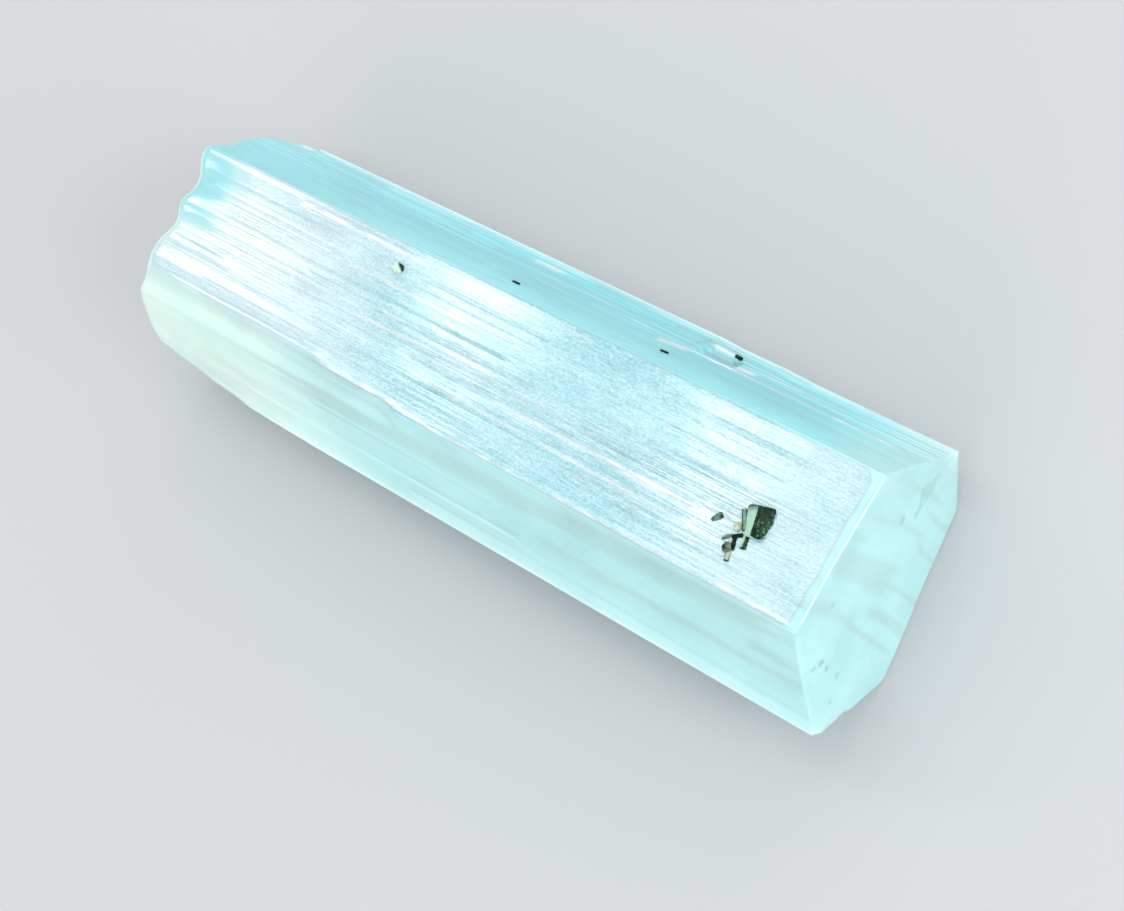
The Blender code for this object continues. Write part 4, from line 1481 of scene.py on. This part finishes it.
@dataclass(frozen=True)
class SmallPrism:
    """A small prismatic crystal with a low truncated point, in millimetres.

    Its section is a regular polygon, flattened and turned, or has corners of its own. The tone says how pale
    it is. The sides that face one way are painted paler by a share, as painted light, and the crystal is
    painted darker towards another way, as painted shade.
    """

    centre: Triple
    axis: Triple
    radius: float
    length: float
    sides: int = 6
    flatten: float = 1.0
    turn: float = 0.0
    corners: tuple[Pair, ...] = ()
    tone: float = 0.0
    painted_light_side: float = 0.0
    green: float = 0.3
    warm: float = 0.0
    slant: float = 0.0
    painted_light_way: Triple = (-0.766, -0.511, 0.391)
    painted_light_from: float = 0.15
    painted_light_soft: float = 0.45
    shade_way: Triple = (0.0, 0.0, 0.0)
    shade_edge: Pair = (0.38, 0.85)
    shade_depth: float = 0.8
    worn: float = 0.10
    wear_pitch: Triple = (4.0, 4.0, 1.2)
    grooved: float = 0.020
    grooves_around: float = 9.0
    grooves_along: float = 1.5
    uneven: float = 0.035
    uneven_pitch: Triple = (0.3, 0.3, 1.0)
    tip_draw: float = 0.30
    tip_rise: float = 0.22
    corner_power: float = 26.0
    columns: int = 96
    side_rings: int = 26
    point_rings: int = 5
    tip_rings: int = 12
    ring_gap: float = 0.02
    foot_shares: Triple = (0.35, 0.7, 0.98)
    shoulder_share: float = 0.985
    slant_from: Triple = (0.15, 0.8, 0.35)
    green_drop: Pair = (0.0, 0.5)
    green_rim: Pair = (0.95, 0.78)

    def placed(self, points: np.ndarray) -> np.ndarray:
        """Points of the crystal's own frame turned so that its Z lies along the axis."""
        return points @ np.array(Vector(self.axis).to_track_quat("Z", "Y").to_matrix()).T

    def reach(self, angle: np.ndarray) -> np.ndarray:
        """The section's radius at each angle, with its corners just rounded.

        A side at a distance d, whose normal is at an angle n, reaches d / cos(a - n). The reaches of all
        the sides are joined by the sum of their inverse powers.

        Args:
            angle: Angles round the axis, in radians.

        Returns:
            The radius at each angle, in millimetres.
        """
        corners = np.array(self.corners)
        if not self.corners:
            places = np.radians(self.turn + 90.0) + np.arange(self.sides) * 2 * math.pi / self.sides
            corners = self.radius * np.stack([self.flatten * np.cos(places), np.sin(places)], -1)
        side = np.roll(corners, -1, axis=0) - corners
        normals = np.stack([side[:, 1], -side[:, 0]], -1)
        normals /= np.linalg.norm(normals, axis=-1, keepdims=True)
        far = np.sum(normals * corners, axis=-1)
        away = np.stack([np.cos(angle), np.sin(angle)], -1) @ normals.T
        inverse = np.maximum(away, 0.0) / far
        return np.sum(inverse**self.corner_power, axis=-1) ** (-1.0 / self.corner_power)

    def shoulder(self) -> float:
        """The height at which the sides end and the low point starts, from the middle."""
        return self.length / 2 - self.tip_rise * self.radius

    def profile(self) -> tuple[np.ndarray, np.ndarray]:
        """The rings, over the foot, up the side to the shoulder, over the low point and in to the tip.

        Returns:
            Their heights from the middle and their shares of the section, each as a column.
        """
        half, shoulder, top = self.length / 2, self.shoulder(), 1.0 - self.tip_draw
        side = np.linspace(-half + self.ring_gap, shoulder - self.ring_gap, self.side_rings)
        point = np.linspace(shoulder, half, self.point_rings)
        drawn = np.linspace(self.shoulder_share, top, self.point_rings)
        inwards = 1.0 - np.arange(1, self.tip_rings + 1) / (self.tip_rings + 1)
        up = [np.full(len(self.foot_shares), -half), side, point, np.full(self.tip_rings, half)]
        out = [self.foot_shares, np.ones(self.side_rings), drawn, top * inwards]
        return np.concatenate(up)[:, None], np.concatenate(out)[:, None]

    def grid(self, seed: int) -> ClosedGrid:
        """The crystal as a closed grid.

        Fine grooves run down the sides, and the point is a little uneven, or slants away to one side.

        Args:
            seed: The seed of the grooves, the point and the wear.

        Returns:
            The closed grid.
        """
        up, out = self.profile()
        angle = np.arange(self.columns) / self.columns * 2 * math.pi
        way = np.stack([np.cos(angle), np.sin(angle)], -1)
        around = way * self.grooves_around
        along = up * self.grooves_along + self.length
        places = np.stack(np.broadcast_arrays(around[:, 0], around[:, 1], along), -1)
        on_side = (up > -self.length / 2) & (up < self.shoulder())
        on_tip = up >= self.shoulder()
        grooves = self.grooved * on_side * (1 + Grain((1.0, 1.0, 1.0), seed=seed).at(places)) / 2
        wear = self.worn * (1 + Grain(self.wear_pitch, seed=seed + 2).at(places)) / 2
        radius = out * self.reach(angle) * (1.0 - grooves) * (1.0 - wear)
        flat = radius[..., None] * way
        level = np.concatenate([flat, np.broadcast_to(up[..., None], (*radius.shape, 1))], -1)
        bumps = Grain(self.uneven_pitch, seed=seed + 1).at(level) - 1.0
        start, share_y, share_x = self.slant_from
        low = np.maximum(start - flat[..., 1] * share_y - flat[..., 0] * share_x, 0.0)
        lifted = up + on_tip * (self.uneven * self.radius * bumps - self.slant * low)
        centre = np.array(self.centre)
        turned = self.placed(np.concatenate([flat, lifted[..., None]], -1)) + centre
        outward = self.placed(np.concatenate([way, np.zeros((self.columns, 1))], -1))
        # Painted light: the sides that face one way are painted paler, standing for the light that falls on
        # them.
        lit = smooth_step(self.painted_light_from, self.painted_light_from + self.painted_light_soft, outward @ np.array(self.painted_light_way))
        # Painted shade: the crystal is painted darker towards one side.
        shade = smooth_step(*self.shade_edge, (turned - centre) @ np.array(self.shade_way) / self.radius)
        tone = np.clip(self.tone + self.painted_light_side * lit * on_side, 0.0, 1.0)
        greener = smooth_step(*self.green_drop, low) * on_tip * smooth_step(*self.green_rim, out)
        # The tone mark carries the painted light and painted shade too, over each crystal's own paleness.
        marks = {
            "tone": tone * (1.0 - self.shade_depth * shade),
            "green": np.clip(self.green + (greener if self.slant else np.zeros_like(radius)), 0.0, 1.0),
            "warm": np.full_like(radius, self.warm),
        }
        half = self.length / 2
        ends = np.array([[0.0, 0.0, -half], [0.0, 0.0, half - self.slant * start]])
        foot, tip = self.placed(ends) + centre
        return ClosedGrid(turned, foot[None], tip[None], marks)


DARK_SECTION = ((1.33, -0.38), (1.05, 0.94), (-1.21, 0.66), (-1.26, -0.04), (-0.88, -0.62), (0.17, -1.01))
UP = (0.0, 0.0, 1.0)


@dataclass(frozen=True)
class Tourmalines:
    """The small crystals: the cluster, the grain and the bead on the main face, and three needles."""

    # Several of these crystals are painted paler on one side or on top, as painted light.
    cluster: tuple[SmallPrism, ...] = (
        SmallPrism(
            (26.715, -1.05, 14.62),
            (0.7207, 0.0914, 0.6872),
            1.0,
            2.5,
            corners=DARK_SECTION,
            painted_light_side=0.95,
            green=0.35,
            slant=0.35,
        ),
        SmallPrism(
            (25.98, -1.32, 14.88),
            (0.57, -0.82, 0.10),
            0.27,
            1.6,
            tone=0.04,
            painted_light_side=0.45,
            painted_light_way=UP,
            painted_light_from=0.55,
        ),
        SmallPrism((26.08, -2.46, 14.90), (0.83, 0.55, 0.05), 0.17, 0.85, green=0.1),
        SmallPrism((26.07, -3.03, 14.92), (0.28, -0.95, 0.10), 0.17, 1.0, green=0.1),
        SmallPrism((25.77, -3.42, 14.84), (0.30, -0.40, 0.85), 0.38, 1.0, tone=0.24, warm=0.3),
        SmallPrism((26.68, -2.42, 14.84), (0.21, -0.97, 0.10), 0.27, 1.5, tone=0.1, painted_light_side=0.8),
        SmallPrism(
            (26.12, -3.95, 14.88),
            (0.28, -0.93, 0.15),
            0.22,
            0.9,
            tone=0.2,
            painted_light_side=0.4,
            warm=0.3,
            painted_light_way=UP,
        ),
        SmallPrism((25.78, -1.85, 14.86), (-0.30, -0.50, 0.80), 0.30, 0.8, tone=0.75, warm=0.6),
        SmallPrism((25.42, -2.86, 14.98), (0.68, 0.73, 0.05), 0.11, 0.72, tone=0.25),
    )
    grain: SmallPrism = SmallPrism((24.05, -1.97, 14.82), (0.60, 0.75, 0.28), 0.28, 0.85, tone=0.32, worn=0.2)
    # The bead is painted darker towards one side, as painted shade.
    bead: SmallPrism = SmallPrism(
        (-9.95, 3.41, 14.76),
        (0.45, 0.25, 0.86),
        0.55,
        1.2,
        sides=7,
        flatten=0.9,
        tone=0.85,
        shade_way=(0.70, 0.71, 0.0),
        worn=0.26,
    )
    needles: tuple[SmallPrism, ...] = (
        SmallPrism((-1.22, 6.85, 12.85), (1.0, 0.04, -0.10), 0.14, 0.65),
        SmallPrism((12.60, 7.10, 12.40), (1.0, 0.10, -0.20), 0.14, 0.65),
        SmallPrism((15.32, 10.15, 6.95), (0.95, -0.10, 0.25), 0.18, 0.66),
    )
    bead_pale: Colour = (0.52, 0.76, 0.56, 1.0)
    sharp_degrees: float = 22.0
    seed_step: int = 31

    def piece(
        self, name: str, prisms: tuple[SmallPrism, ...], material: bpy.types.Material, slot: str
    ) -> bpy.types.Object:
        """Builds one piece from its prisms, and has it stand for the node of the same name.

        Args:
            name: The node's name.
            prisms: Its small crystals, which may overlap.
            material: Its finish.
            slot: Not used.

        Returns:
            The piece.
        """
        grids = [prism.grid(self.seed_step * number + len(name)) for number, prism in enumerate(prisms)]
        made = piece_from(f"{name}_surface", grids, self.sharp_degrees)
        made.data.materials.append(material)
        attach(made, "root")
        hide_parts(name)
        return made

    def build(self) -> list[bpy.types.Object]:
        """Every tourmaline, in its finish."""
        black = TourmalineFinish("black tourmaline").material()
        pale = TourmalineFinish("pale green tourmaline", pale=self.bead_pale).material()
        pieces = [
            self.piece("tourmaline_cluster", self.cluster, black, "tourmaline_black"),
            self.piece("tourmaline_grain", (self.grain,), black, "tourmaline_black"),
            self.piece("tourmaline_bead", (self.bead,), pale, "tourmaline_pale"),
        ]
        for number, needle in enumerate(self.needles, 1):
            pieces.append(self.piece(f"tourmaline_needle_{number}", (needle,), black, "tourmaline_black"))
        return pieces


@dataclass(frozen=True)
class Lamp:
    """A square soft light: its place, aim and side in millimetres, its brightness and its colour."""

    name: str
    place: Triple
    aim: Triple
    side: float
    brightness: float
    colour: Triple = (1.0, 1.0, 1.0)

    def build(self) -> bpy.types.Object:
        """The light, turned to its aim, with its power in proportion to brightness and area."""
        light = bpy.data.lights.new(self.name, "AREA")
        light.color = self.colour
        light.shape = "SQUARE"
        light.size = self.side * MM
        light.energy = self.brightness * math.pi * (self.side * MM) ** 2
        lamp = bpy.data.objects.new(self.name, light)
        bpy.context.scene.collection.objects.link(lamp)
        lamp.location = Vector(self.place) * MM
        way = Vector(self.aim) - Vector(self.place)
        lamp.rotation_euler = way.to_track_quat("-Z", "Y").to_euler()
        return lamp


CRYSTAL_MIDDLE = (0.0, 0.0, 8.0)


@dataclass(frozen=True)
class Studio:
    """A plain pale floor, plain soft light, and the camera at the photograph's viewing angle."""

    camera_place: Triple = (78.27, -14.37, 132.0)
    camera_right: Triple = (0.76569, 0.51091, -0.39075)
    camera_up: Triple = (-0.40976, 0.85573, 0.31594)
    camera_forward: Triple = (-0.49579, 0.08180, -0.86458)
    lens: float = 60.85
    sensor: float = 36.0
    nearest: float = 5.0
    floor_side: float = 3.0
    floor_colour: Colour = (0.42, 0.43, 0.44, 1.0)
    floor_roughness: float = 0.85
    sky: Colour = (0.97, 0.99, 1.0, 1.0)
    sky_brightness: float = 1.12
    lamps: tuple[Lamp, ...] = (
        Lamp("main soft light", (-120.0, 160.0, 520.0), CRYSTAL_MIDDLE, 300.0, 0.8),
        Lamp("back soft light", (-40.0, 420.0, 260.0), CRYSTAL_MIDDLE, 300.0, 1.5),
        Lamp("front soft light", (60.0, -420.0, 200.0), CRYSTAL_MIDDLE, 300.0, 2.5),
        Lamp("end soft light", (420.0, 40.0, 180.0), CRYSTAL_MIDDLE, 300.0, 4.8),
        Lamp("root glow", (-231.0, 7.0, 249.0), (-24.7, -7.0, 14.9), 21.0, 32.0, (1.0, 0.98, 0.88)),
        Lamp("middle glow", (-160.0, 38.6, 249.0), (-1.3, 3.3, 14.9), 15.0, 34.0),
        Lamp("end glow", (-88.0, 42.4, 249.0), (22.6, 4.6, 14.9), 14.0, 32.0, (1.0, 0.99, 0.90)),
    )

    def camera(self) -> bpy.types.Object:
        """The camera, placed by its right, up and forward directions."""
        view = bpy.data.cameras.new("camera")
        view.lens = self.lens
        view.sensor_width = self.sensor
        view.sensor_fit = "HORIZONTAL"
        view.clip_start = self.nearest * MM
        camera = bpy.data.objects.new("camera", view)
        bpy.context.scene.collection.objects.link(camera)
        back = -Vector(self.camera_forward)
        turn = Matrix((self.camera_right, self.camera_up, back)).transposed().to_4x4()
        camera.matrix_world = Matrix.Translation(Vector(self.camera_place) * MM) @ turn
        bpy.context.scene.camera = camera
        return camera

    def floor(self) -> bpy.types.Object:
        """A level square under the crystal, in plain pale paint."""
        half = self.floor_side / 2
        corners = np.array([(-half, -half, 0), (half, -half, 0), (half, half, 0), (-half, half, 0)])
        mesh = bpy.data.meshes.new("floor")
        mesh.from_pydata(corners.tolist(), [], [(0, 1, 2, 3)])
        floor = bpy.data.objects.new("floor", mesh)
        bpy.context.scene.collection.objects.link(floor)
        paint = Recipe("floor paint")
        paint.dress({"Base Color": self.floor_colour, "Roughness": self.floor_roughness})
        mesh.materials.append(paint.material)
        return floor

    def build(self) -> None:
        """The camera, the floor, the even light all round and the lamps."""
        self.camera()
        self.floor()
        world = bpy.data.worlds.new("studio light")
        world.use_nodes = True
        background = world.node_tree.nodes["Background"]
        background.inputs["Color"].default_value = self.sky
        background.inputs["Strength"].default_value = self.sky_brightness
        bpy.context.scene.world = world
        bpy.context.scene.view_settings.view_transform = "Standard"
        for lamp in self.lamps:
            lamp.build()


def report(piece: bpy.types.Object) -> None:
    """Logs one piece's name and how many triangles it has."""
    triangles = sum(len(face.vertices) - 2 for face in piece.data.polygons)
    LOG.info("%s: %d triangles", piece.name, triangles)


def main() -> None:
    """Builds the studio, the crystal and the tourmalines."""
    logging.basicConfig(level=logging.INFO, format="%(name)s: %(message)s")
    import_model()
    Studio().build()
    report(Aquamarine().build())
    for piece in Tourmalines().build():
        report(piece)


if __name__ == "__main__":
    main()
